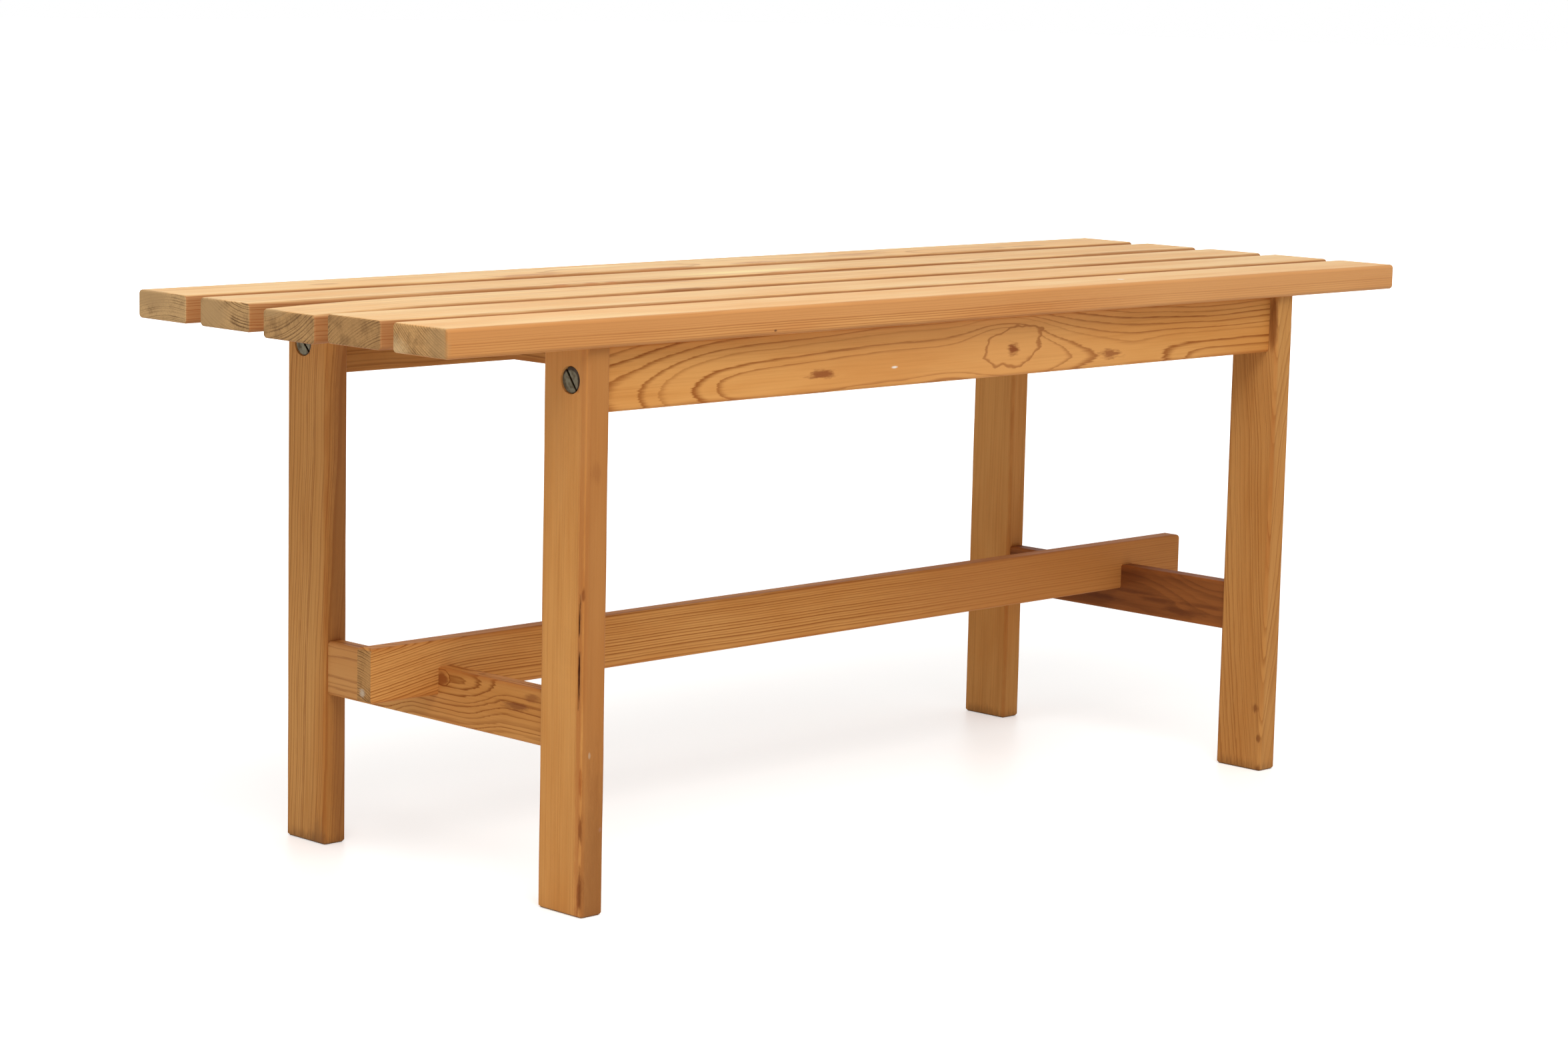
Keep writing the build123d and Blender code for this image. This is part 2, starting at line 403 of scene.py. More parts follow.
@dataclass(frozen=True)
class Spot:
    """Something at one place on a member.

    Attributes:
        at: Its middle, in the bench's frame.
        reach: How far it goes from there along each axis.
    """

    at: Triple
    reach: Triple


@dataclass(frozen=True)
class Knot(Spot):
    """The stump of a branch: a clear eye with one dark ring about it.

    Attributes:
        lean: How far its top leans along the grain, in shares of its height.
        ragged: How uneven the ring is.
    """

    lean: float = 0.0
    ragged: float = 0.6


@dataclass(frozen=True)
class Swell(Spot):
    """A stretch where the rings bulge, as beside a branch.

    Attributes:
        rise: How much further out the rings lie there.
    """

    rise: float


@dataclass(frozen=True)
class Mark(Spot):
    """A stain, chip or fleck.

    Attributes:
        tint: Its colour.
        strength: How much of that colour shows.
        ragged: How uneven its edge is.
        core: The share of its reach that it fills before it fades.
    """

    tint: Tint
    strength: float = 0.8
    ragged: float = 0.6
    core: float = 0.3


@dataclass(frozen=True)
class PineFinish:
    """Oiled pine that has aged.

    Attributes:
        name: The finish's name.
        early: Its pale wood.
        warm: The tone that patches of the pale wood drift to.
        late: The dark line of a ring.
        end_early: The pale wood on a sawn end.
        end_late: The dark line of a ring on a sawn end.
        rubbed: The pale wood on a face that is sat on: worn, and painted lighter as a highlight for the
            light and glare on the tops.
        rubbed_warm: The tone that patches of it drift to.
        grime: What has gathered along the arrises.
        rub: How far the seat's tone shows on faces that look up; besides wear, it is a painted highlight
            on the tops.
        faded: How much of the rings and the fibre is lost where that tone shows.
        streaked: How dark the fibre is.
        grimed: How much of the grime shows.
        stained: How strong the stains on a sawn end are.
        pored: How strong the pores on a sawn end are.
        relief: How deep the rings and the fibre stand, in metres.
        sheen: How much the oil shines.
    """

    name: str
    early: Tint
    warm: Tint
    late: Tint
    end_early: Tint
    end_late: Tint
    rubbed: Tint
    rubbed_warm: Tint
    grime: Tint
    rub: float = 0.0
    faded: float = 0.6
    streaked: float = 0.2
    grimed: float = 0.5
    stained: float = 0.45
    pored: float = 0.25
    relief: float = 0.00012
    sheen: float = 0.08

    def toned(self, share: float) -> "PineFinish":
        """The same finish on a lighter or darker board.

        Args:
            share: How much of each colour is left.

        Returns:
            The toned finish.
        """
        tints = {
            part.name: tuple(channel * share for channel in getattr(self, part.name))
            for part in fields(self)
            if isinstance(getattr(self, part.name), tuple)
        }
        return replace(self, **tints)

    def dress(self, member: "Member", box: Box) -> bpy.types.Material:
        """Makes the material of one member.

        Args:
            member: The member.
            box: The box round it.

        Returns:
            The material.
        """
        sheet = NodeSheet(f"{self.name}_{member.node}")
        surface = WoodSurface(sheet, member, box)
        rings = surface.rings()
        fibre = surface.fibre()
        patch = surface.patch()
        sawn_end = surface.sawn_end()

        side = sheet.blend(patch, self.early, self.warm)
        # Faces that look up take the seat's pale tone: wear, and also a painted highlight for the light
        # and glare on the tops.
        worn = sheet.times(sheet.span(surface.facing[2], 0.56, 0.95), self.rub)
        side = sheet.blend(worn, side, sheet.blend(patch, self.rubbed, self.rubbed_warm))
        fresh = sheet.calc("MULTIPLY_ADD", worn, -self.faded, 1.0)
        drawn = sheet.times(fresh, member.cut.contrast)
        side = sheet.blend(sheet.times(rings, drawn), side, self.late)
        streaks = sheet.times(fibre, sheet.times(fresh, self.streaked))
        side = sheet.blend(streaks, side, self.late)
        side = sheet.blend(sheet.times(surface.arris(), self.grimed), side, self.grime)

        end = sheet.blend(sheet.times(surface.blotch(), self.stained), self.end_early, self.end_late)
        end = sheet.blend(sheet.times(rings, surface.clarity()), end, self.end_late)
        end = sheet.blend(sheet.times(surface.pores(), self.pored), end, self.end_late)
        colour = sheet.blend(sawn_end, side, end)
        for mark in member.marks:
            colour = sheet.blend(surface.mark(mark), colour, mark.tint)

        dull = sheet.total([0.5, sheet.times(fibre, 0.14), sheet.times(sawn_end, 0.25)])
        height = sheet.total([sheet.times(rings, 0.5), sheet.times(fibre, 0.5)])
        return sheet.finish(colour, dull, height, self.relief, Specular_IOR_Level=self.sheen)


class WoodSurface:
    """The figure of one member: its rings, fibre, patches, arrises and marks as sockets."""

    def __init__(self, sheet: NodeSheet, member: "Member", box: Box) -> None:
        """Sets out the places that the figure is worked out from.

        Args:
            sheet: Where the nodes go.
            member: The member.
            box: The box round it.
        """
        self.sheet = sheet
        self.member = member
        self.cut = member.cut
        self.half = box.half
        self.place = sheet.place()
        self.local = sheet.parts(sheet.vectors("SUBTRACT", self.place, tuple(box.middle)))
        self.along, self.u, self.v = (self.local[axis] for axis in member.grain.value)
        self.facing = sheet.parts(sheet.node("ShaderNodeTexCoord").outputs["Normal"])

    def stretched(self, along: float, across: float) -> Socket:
        """A place for noise, which can have long grains.

        Args:
            along: How many of its grains lie in a metre along the member.
            across: How many lie in a metre across it.

        Returns:
            The place's socket.
        """
        calc = self.sheet.calc
        return self.sheet.vector(
            calc("MULTIPLY_ADD", self.along, along, self.cut.seed),
            calc("MULTIPLY_ADD", self.u, across, self.cut.seed),
            self.sheet.times(self.v, across),
        )

    def from_heart(self, axis: int) -> Socket:
        """Distance from the wandering heart line on one of the two axes across the grain.

        Args:
            axis: Which of the two.

        Returns:
            The distance's socket.
        """
        sheet, cut = self.sheet, self.cut
        own_place = cut.seed + 31.0 * axis
        stray = sheet.noise_line(sheet.calc("MULTIPLY_ADD", self.along, 4.0, own_place), 2.0)
        moves = [
            sheet.swing(stray, cut.wander),
            sheet.calc("MULTIPLY_ADD", self.along, cut.lean[axis], cut.heart[axis]),
        ]
        for bend in cut.bends:
            share = sheet.span(self.along, bend.start, bend.end)
            moves.append(sheet.times(share, bend.shift[axis]))
        return sheet.calc("SUBTRACT", (self.u, self.v)[axis], sheet.total(moves))

    def swell(self, swell: Swell) -> Socket:
        """How far one bulge moves the rings at each place.

        Args:
            swell: The bulge.

        Returns:
            The distance's socket.
        """
        sheet = self.sheet
        away = self.away(swell)
        fall = sheet.calc("EXPONENT", sheet.times(sheet.times(away, away), -1.0))
        return sheet.times(fall, swell.rise)

    def pull(self, reach: float) -> Socket:
        """How far single fibres pull a line about."""
        return self.sheet.swing(self.sheet.noise(self.stretched(26.0, 800.0), 3.0, 0.65), reach)

    def rings(self) -> Socket:
        """The dark lines of the rings.

        Returns:
            A socket that goes from 0 in the early wood to 1 in the late.
        """
        sheet, cut = self.sheet, self.cut
        across = (self.from_heart(0), self.from_heart(1))
        radius = sheet.calc("SQRT", sheet.total(sheet.times(part, part) for part in across))
        ripple = sheet.swing(sheet.noise(self.stretched(9.0, 55.0), 3.0, 0.55), cut.ripple)
        radius = sheet.total([radius, ripple, *(self.swell(swell) for swell in self.member.swells)])
        count = sheet.calc("DIVIDE", sheet.calc("SUBTRACT", radius, cut.clear), cut.pitch)
        pull = self.pull(cut.jag)
        years = sheet.calc("MULTIPLY_ADD", count, 0.45, cut.seed)
        width = sheet.swing(sheet.noise_line(years, 1.0), cut.uneven)
        count = sheet.total([count, pull, width])
        turn = sheet.calc("FRACT", count)
        rise = sheet.calc("POWER", sheet.span(turn, 0.95 - cut.late, 0.93), 1.5)
        line = sheet.times(rise, sheet.rest(sheet.span(turn, 0.91, 1.0)))
        own_year = sheet.calc("MULTIPLY_ADD", sheet.calc("FLOOR", count), 7.31, cut.seed)
        strong = sheet.span(sheet.noise_line(own_year, 0.0), 0.2, 0.7)
        line = sheet.times(line, sheet.calc("MULTIPLY_ADD", strong, 0.6, 0.4))
        line = sheet.times(line, sheet.calc("GREATER_THAN", count, 0.0))
        for knot in self.member.knots:
            line = self.eye(knot, line)
        return line

    def eye(self, knot: Knot, line: Socket) -> Socket:
        """Clears the rings away inside a knot, and draws its own ring about it.

        Args:
            knot: The knot.
            line: The dark lines so far.

        Returns:
            The dark lines with the knot in them.
        """
        sheet = self.sheet
        shares = self.shares(knot)
        parts = sheet.parts(shares)
        upright = sheet.calc("MULTIPLY_ADD", parts[2], -knot.lean, parts[0])
        away = sheet.vectors("LENGTH", sheet.vector(upright, parts[1], parts[2]))
        outline = sheet.swing(sheet.noise(shares, 2.0, 0.6), knot.ragged)
        away = sheet.total([away, outline, self.pull(0.05)])
        outside = sheet.span(away, 0.98, 1.04)
        ring = sheet.calc("SUBTRACT", sheet.span(away, 0.86, 0.96), outside)
        return sheet.calc("ADD", sheet.times(line, outside), sheet.calc("MAXIMUM", ring, 0.0))

    def fibre(self) -> Socket:
        """Fine streaks that run with the grain."""
        return self.sheet.span(self.sheet.noise(self.stretched(9.0, 620.0), 3.0, 0.6), 0.42, 0.78)

    def blotch(self) -> Socket:
        """Soft stains on a sawn end."""
        return self.sheet.span(self.sheet.noise(self.stretched(90.0, 90.0), 3.0, 0.6), 0.4, 0.75)

    def clarity(self) -> Socket:
        """How plainly the rings show on a sawn end, where the saw and hands have blurred them."""
        cloud = self.sheet.span(self.sheet.noise(self.stretched(44.0, 44.0), 1.0), 0.38, 0.6)
        return self.sheet.calc("MULTIPLY_ADD", cloud, 0.65, 0.35)

    def pores(self) -> Socket:
        """Specks of open grain on a sawn end."""
        return self.sheet.span(self.sheet.noise(self.stretched(900.0, 900.0), 2.0), 0.45, 0.75)

    def patch(self) -> Socket:
        """Broad cloudy tones."""
        return self.sheet.span(self.sheet.noise(self.stretched(5.0, 26.0), 3.0, 0.55), 0.3, 0.72)

    def sawn_end(self) -> Socket:
        """One on the faces that cut across the grain."""
        facing = self.facing[self.member.grain.value[0]]
        return self.sheet.span(self.sheet.calc("ABSOLUTE", facing), 0.6, 0.8)

    def arris(self) -> Socket:
        """The long edges, which fade over a few millimetres and have gaps.

        Returns:
            A socket that is 1 on the edges and 0 away from them.
        """
        sheet = self.sheet
        _, axis_u, axis_v = self.member.grain.value
        depths = [
            sheet.calc("SUBTRACT", self.half[axis], sheet.calc("ABSOLUTE", self.local[axis]))
            for axis in (axis_u, axis_v)
        ]
        from_edge = sheet.calc("MAXIMUM", *depths)
        near = sheet.rest(sheet.span(from_edge, 0.0012, 0.0045))
        gaps = sheet.span(sheet.noise(self.stretched(11.0, 60.0), 3.0, 0.6), 0.35, 0.65)
        return sheet.times(near, gaps)

    def shares(self, spot: Spot) -> Socket:
        """Place from a spot's middle, where 1 is as far as it reaches along each axis."""
        from_middle = self.sheet.vectors("SUBTRACT", self.place, spot.at)
        return self.sheet.vectors("DIVIDE", from_middle, spot.reach)

    def away(self, spot: Spot) -> Socket:
        """Distance from a spot's middle, counted in the same shares."""
        return self.sheet.vectors("LENGTH", self.shares(spot))

    def mark(self, mark: Mark) -> Socket:
        """How much of one mark shows at each place.

        Args:
            mark: The mark.

        Returns:
            The share's socket.
        """
        sheet = self.sheet
        edge = sheet.swing(sheet.noise(self.stretched(90.0, 420.0), 3.0, 0.6), mark.ragged)
        within = sheet.span(sheet.calc("ADD", self.away(mark), edge), mark.core, 1.1)
        return sheet.times(sheet.rest(within), mark.strength)


# ---------------------------------------------------------------- metal and pegs


@dataclass(frozen=True)
class SteelFinish:
    """Plain steel that has dulled.

    Attributes:
        name: The finish's name.
        bare: The metal's own colour.
        tarnish: The brown film on it.
        cover: How much of it the film hides.
        rim_shadow: The colour of the painted shadow that the counterbore's rim casts round a head, if
            any.
    """

    name: str
    bare: Tint
    tarnish: Tint
    cover: float
    rim_shadow: Tint | None = None

    def rim(self, sheet: NodeSheet, place: Socket, box: Box) -> Socket:
        """The painted shadow of the counterbore's rim on a head: a ring round its edge, thickest above,
        and 0 on the rest of it.

        Args:
            sheet: Where the nodes go.
            place: Each point's place.
            box: The box round the bolt, which lies along X.

        Returns:
            The share's socket.
        """
        _, across, up = sheet.parts(sheet.vectors("SUBTRACT", place, tuple(box.middle)))
        out = sheet.calc("SQRT", sheet.total(sheet.times(part, part) for part in (across, up)))
        above = sheet.calc("SUBTRACT", up, sheet.times(across, 0.7))
        reach = sheet.total([out, sheet.times(above, 0.14)])
        return sheet.span(reach, 0.76 * box.half.z, 0.92 * box.half.z)

    def dress(self, box: Box) -> bpy.types.Material:
        """Makes the material.

        Args:
            box: The box round the piece.

        Returns:
            The material.
        """
        sheet = NodeSheet(self.name)
        place = sheet.place()

        def cloud(grains: float, detail: float) -> Socket:
            """A noise of so many grains to a metre."""
            scaled = sheet.node("ShaderNodeVectorMath", {0: place, "Scale": grains}, operation="SCALE")
            return sheet.noise(scaled.outputs[0], detail, 0.6)

        film = sheet.span(cloud(190.0, 4.0), 0.62 - self.cover / 2, 0.8 - self.cover / 3)
        pits = sheet.span(cloud(2600.0, 2.0), 0.5, 0.8)
        colour = sheet.blend(film, self.bare, self.tarnish)
        # Painted shadow: a dark ring round the head's edge, thickest above, for the shade that the
        # counterbore's rim throws.
        if self.rim_shadow:
            colour = sheet.blend(sheet.times(self.rim(sheet, place, box), 0.9), colour, self.rim_shadow)
        rough = sheet.total([0.36, sheet.times(film, 0.25), sheet.times(pits, 0.1)])
        return sheet.finish(colour, rough, pits, 0.00004, Metallic=0.85)


@dataclass(frozen=True)
class PegFinish:
    """Plain beech, for pins.

    Attributes:
        name: The finish's name.
        pale: The wood's colour.
        fleck: Its short dark flecks.
    """

    name: str
    pale: Tint
    fleck: Tint

    def dress(self) -> bpy.types.Material:
        """Makes the material.

        Returns:
            The material.
        """
        sheet = NodeSheet(self.name)
        fine = sheet.vectors("MULTIPLY", sheet.place(), (900.0, 900.0, 900.0))
        flecks = sheet.span(sheet.noise(fine, 2.0), 0.52, 0.7)
        colour = sheet.blend(flecks, self.pale, self.fleck)
        rough = sheet.total([0.55, sheet.times(flecks, 0.15)])
        return sheet.finish(colour, rough, flecks, 0.00005, Specular_IOR_Level=0.3)


# ---------------------------------------------------------------- finishes of this bench

SLAT_PINE = PineFinish(
    name="slat_pine",
    early=tint(216, 156, 92),
    warm=tint(206, 140, 78),
    late=tint(150, 86, 38),
    end_early=tint(202, 161, 109),
    end_late=tint(86, 54, 27),
    # The slats' tops: worn pale, and painted lighter still as a highlight for the light on them.
    rubbed=tint(251, 213, 154),
    rubbed_warm=tint(244, 192, 126),
    grime=tint(166, 108, 60),
    rub=0.88,
    sheen=0.16,
)
FRAME_PINE = PineFinish(
    name="frame_pine",
    early=tint(217, 157, 89),
    warm=tint(204, 139, 71),
    late=tint(150, 86, 32),
    end_early=tint(190, 142, 88),
    end_late=tint(104, 68, 36),
    rubbed=tint(226, 172, 106),
    rubbed_warm=tint(216, 158, 92),
    grime=tint(178, 104, 46),
)
# Painted shade: the slats behind the front one have darker sides, for the gaps where the slat in front
# keeps the light off.
GAP_SHADE_PINE = replace(SLAT_PINE, name="gap_shade_pine", early=tint(188, 134, 84), warm=tint(168, 113, 66))
# Painted shade: the frame's pine darkened for members that sit in the shade under the top.
SHADED_PINE = FRAME_PINE.toned(0.80)
RED_PINE = replace(
    FRAME_PINE, name="red_pine", early=tint(152, 92, 46), warm=tint(130, 74, 36), late=tint(78, 38, 18)
)
# The bolts' heads carry a painted shadow from their counterbores.
BOLT_STEEL = SteelFinish(
    "bolt_steel", bare=tint(104, 98, 80), tarnish=tint(82, 72, 54), cover=0.4, rim_shadow=tint(44, 30, 20)
)
NUT_STEEL = SteelFinish("nut_steel", bare=tint(160, 158, 150), tarnish=tint(112, 100, 82), cover=0.2)
SCREW_STEEL = SteelFinish("screw_steel", bare=tint(166, 162, 150), tarnish=tint(116, 102, 80), cover=0.25)
BEECH = PegFinish("dowel_beech", pale=tint(216, 182, 140), fleck=tint(170, 128, 88))
WET_AND_SHADE = tint(120, 66, 28)  # where water has darkened the wood, and painted shade where the front apron's right end meets its leg


# ---------------------------------------------------------------- mesh work


def welded(mesh: bpy.types.Mesh) -> bmesh.types.BMesh:
    """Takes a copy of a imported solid, with its split corners joined.

    Args:
        mesh: The solid's own mesh.

    Returns:
        The copy, as an open mesh.
    """
    work = bmesh.new()
    work.from_mesh(mesh)
    bmesh.ops.remove_doubles(work, verts=work.verts, dist=WELD)
    return work


def whole(mesh: bpy.types.Mesh) -> bmesh.types.BMesh:
    """Takes such a copy, and joins the triangles of each flat.

    Args:
        mesh: The solid's own mesh.

    Returns:
        The copy, as an open mesh.
    """
    work = welded(mesh)
    bmesh.ops.dissolve_limit(
        work, angle_limit=math.radians(0.3), verts=work.verts[:], edges=work.edges[:]
    )
    return work


def sharp_edges(work: bmesh.types.BMesh, degrees: float) -> list[bmesh.types.BMEdge]:
    """Finds the edges where two faces meet at more than an angle.

    Args:
        work: The open mesh.
        degrees: The angle.

    Returns:
        The edges.
    """
    return [
        edge
        for edge in work.edges
        if len(edge.link_faces) == 2 and edge.calc_face_angle(0.0) > math.radians(degrees)
    ]


def soften(work: bmesh.types.BMesh, edges: list[bmesh.types.BMEdge], width: float, segments: int) -> None:
    """Rounds edges off.

    Args:
        work: The open mesh.
        edges: Which of its edges.
        width: How far the round goes in from each edge.
        segments: How many flats make the round.
    """
    bmesh.ops.bevel(
        work,
        geom=edges,
        offset=width,
        segments=segments,
        profile=0.5,
        affect="EDGES",
        clamp_overlap=True,
    )


def stand(name: str, work: bmesh.types.BMesh) -> bpy.types.Object:
    """Turns an open mesh into an object of the scene, with crisp arrises and smooth rounds.

    Args:
        name: The object's name.
        work: The open mesh, which is closed here.

    Returns:
        The object.
    """
    mesh = bpy.data.meshes.new(name)
    bmesh.ops.recalc_face_normals(work, faces=work.faces)
    work.to_mesh(mesh)
    work.free()
    mesh.shade_smooth()
    mesh.set_sharp_from_angle(angle=SMOOTH_BELOW)
    piece = bpy.data.objects.new(name, mesh)
    bpy.context.scene.collection.objects.link(piece)
    weights = piece.modifiers.new(FLAT_SHADING, "WEIGHTED_NORMAL")
    weights.keep_sharp = True
    weights.weight = 100
    return piece


def carve(piece: bpy.types.Object, cutter: bpy.types.Object) -> None:
    """Takes one closed shape out of another, and throws the cutter away.

    Args:
        piece: What is carved.
        cutter: What is taken out of it.
    """
    difference = piece.modifiers.new("carve", "BOOLEAN")
    difference.operation = "DIFFERENCE"
    difference.solver = "EXACT"
    difference.object = cutter
    piece.modifiers.move(len(piece.modifiers) - 1, 0)
    weights = piece.modifiers[FLAT_SHADING]
    weights.show_viewport = False
    bpy.context.view_layer.update()
    worked_out = piece.evaluated_get(bpy.context.evaluated_depsgraph_get())
    carved = bpy.data.meshes.new_from_object(worked_out)
    piece.modifiers.remove(difference)
    weights.show_viewport = True
    piece.data = carved
    carved.set_sharp_from_angle(angle=SMOOTH_BELOW)
    bpy.data.objects.remove(cutter)


def joins(piece: bpy.types.Object, node: str, material: bpy.types.Material) -> None:
    """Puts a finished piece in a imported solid's place.

    Args:
        piece: The finished piece.
        node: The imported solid's name.
        material: The finish.
    """
    piece.data.materials.clear()
    piece.data.materials.append(material)
    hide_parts(node)
    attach(piece, BODY)
    LOG.info("%s stands for %s, with %d faces", piece.name, node, len(piece.data.polygons))


@dataclass(frozen=True)
class Split:
    """A drying split beside an upright member's arris.

    Attributes:
        face_x: The face that it opens on.
        place_y: Where it runs on that face.
        bottom: Its lower end.
        top: Its upper end.
        widest: Its greatest width.
        depth: How deep it goes.
        seed: A number for its raggedness.
    """

    face_x: float
    place_y: float
    bottom: float
    top: float
    widest: float
    depth: float
    seed: float

    def cutter(self) -> bpy.types.Object:
        """Makes the sliver that is taken out of the member.

        Returns:
            The sliver's object.
        """
        stations = 15
        outside = 0.001
        work = bmesh.new()
        rows = []
        for number in range(stations):
            share = number / (stations - 1)
            height = self.bottom + (self.top - self.bottom) * share
            stray = noise.noise(Vector((height * 90.0, self.seed, 0.0)))
            swell = 0.65 + 0.5 * noise.noise(Vector((height * 140.0, self.seed, 4.0)))
            width = max(0.00008, self.widest * math.sin(math.pi * share) ** 0.6 * swell)
            middle = self.place_y + 0.0008 * stray - 0.0004 * share
            deep = self.depth * (0.4 + 0.6 * math.sin(math.pi * share))
            rows.append([
                work.verts.new((self.face_x - outside, middle - width / 2, height)),
                work.verts.new((self.face_x - outside, middle + width / 2, height)),
                work.verts.new((self.face_x + deep, middle, height)),
            ])
        for lower, upper in zip(rows, rows[1:]):
            for corner in range(3):
                following = (corner + 1) % 3
                work.faces.new((lower[corner], lower[following], upper[following], upper[corner]))
        work.faces.new(rows[0][::-1])
        work.faces.new(rows[-1])
        return stand("split_cutter", work)


@dataclass
class Member:
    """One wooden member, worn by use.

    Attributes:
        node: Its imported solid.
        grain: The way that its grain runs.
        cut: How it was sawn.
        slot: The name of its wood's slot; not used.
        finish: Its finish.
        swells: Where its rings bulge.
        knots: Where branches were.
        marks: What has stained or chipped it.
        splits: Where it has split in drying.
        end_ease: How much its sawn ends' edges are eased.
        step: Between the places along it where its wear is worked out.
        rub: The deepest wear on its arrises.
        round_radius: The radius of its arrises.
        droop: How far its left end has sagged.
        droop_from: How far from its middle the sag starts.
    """

    node: str
    grain: Grain
    cut: Cut
    slot: str = "frame_pine"
    finish: PineFinish = FRAME_PINE
    swells: tuple[Swell, ...] = ()
    knots: tuple[Knot, ...] = ()
    marks: tuple[Mark, ...] = ()
    splits: tuple[Split, ...] = ()
    end_ease: float = 0.0
    step: float = 0.011
    rub: float = 0.0004
    round_radius: float = 0.003
    droop: float = 0.0
    droop_from: float = 0.40

    def build(self, solid: bpy.types.Object) -> None:
        """Builds and dresses the member.

        Args:
            solid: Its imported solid.
        """
        box = Box.of(self.node)
        work = whole(solid.data)
        self.ease_ends(work, box)
        self.slice(work, box)
        self.wear(work, box)
        piece = stand(f"{self.node}_timber", work)
        for split in self.splits:
            carve(piece, split.cutter())
        joins(piece, self.node, self.finish.dress(self, box))

    def ease_ends(self, work: bmesh.types.BMesh, box: Box) -> None:
        """Takes the sharpness off the edges round both sawn ends.

        Args:
            work: The open mesh.
            box: The box round the member.
        """
        if not self.end_ease:
            return
        axis = self.grain.value[0]
        hair = 1e-5
        rims = [
            edge
            for edge in sharp_edges(work, 60.0)
            if any(
                all(abs(corner.co[axis] - end[axis]) < hair for corner in edge.verts)
                for end in (box.low, box.high)
            )
        ]
        soften(work, rims, self.end_ease, 3)

    def slice(self, work: bmesh.types.BMesh, box: Box) -> None:
        """Cuts the mesh across at even steps, so that its long edges can vary.

        Args:
            work: The open mesh.
            box: The box round the member.
        """
        axis = self.grain.value[0]
        start = box.low[axis]
        length = box.high[axis] - start
        normal = Vector((0.0, 0.0, 0.0))
        normal[axis] = 1.0
        count = int(length / self.step)
        for number in range(1, count):
            place = Vector((0.0, 0.0, 0.0))
            place[axis] = start + length * number / count
            bmesh.ops.bisect_plane(
                work,
                geom=work.verts[:] + work.edges[:] + work.faces[:],
                dist=WELD,
                plane_co=place,
                plane_no=normal,
            )

    def wear(self, work: bmesh.types.BMesh, box: Box) -> None:
        """Rubs the arrises unevenly, and lets the left end droop.

        Args:
            work: The open mesh.
            box: The box round the member.
        """
        along, axis_u, axis_v = self.grain.value
        middle, half = box.middle, box.half
        for vertex in work.verts:
            offset = vertex.co - middle
            depth_u = half[axis_u] - abs(offset[axis_u])
            depth_v = half[axis_v] - abs(offset[axis_v])
            nearness = 1 - max(depth_u, depth_v) / self.round_radius
            if nearness > 0:
                way_u = math.copysign(1.0, offset[axis_u])
                way_v = math.copysign(1.0, offset[axis_v])
                corner = 3.0 * way_u + 5.0 * way_v + self.cut.seed
                broad = noise.noise(Vector((offset[along] * 14.0, corner, 0.0)))
                fine = noise.noise(Vector((offset[along] * 70.0, corner, 9.0)))
                dents = max(0.0, fine - 0.25)
                rubbed = self.rub * nearness * max(0.0, 0.35 + 0.9 * broad + 0.6 * dents)
                vertex.co[axis_u] -= way_u * rubbed
                vertex.co[axis_v] -= way_v * rubbed
            beyond = -offset[along] - self.droop_from
            if self.droop and beyond > 0:
                share = beyond / (half[along] - self.droop_from)
                vertex.co.z -= self.droop * share * share


# ---------------------------------------------------------------- fasteners


def islands(mesh: bpy.types.Mesh) -> list[Box]:
    """Finds the boxes round the separate solids of a mesh.

    Args:
        mesh: The mesh.

    Returns:
        Their boxes, in order along X.
    """
    work = welded(mesh)
    left = set(work.verts)
    boxes = []
    while left:
        group, front = set(), [left.pop()]
        while front:
            vertex = front.pop()
            group.add(vertex)
            for edge in vertex.link_edges:
                other = edge.other_vert(vertex)
                if other in left:
                    left.discard(other)
                    front.append(other)
        boxes.append(
            Box(
                Vector(min(corner.co[axis] for corner in group) for axis in range(3)),
                Vector(max(corner.co[axis] for corner in group) for axis in range(3)),
            )
        )
    work.free()
    return sorted(boxes, key=lambda box: tuple(box.low))


@dataclass
class TurnedSteel:
    """A bolt or nut, with the sharpness taken off its turned and slotted edges.

    Attributes:
        finish: Its finish.
        slot: The name of its metal's slot; not used.
        ease: How much each edge is broken.
    """

    finish: SteelFinish
    slot: str
    ease: float = 0.00035

    def build(self, node: str, solid: bpy.types.Object) -> None:
        """Builds and dresses the piece.

        Args:
            node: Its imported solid's name.
            solid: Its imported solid.
        """
        work = whole(solid.data)
        soften(work, sharp_edges(work, 50.0), self.ease, 2)
        piece = stand(f"{node}_turned", work)
        joins(piece, node, self.finish.dress(Box.of(node)))


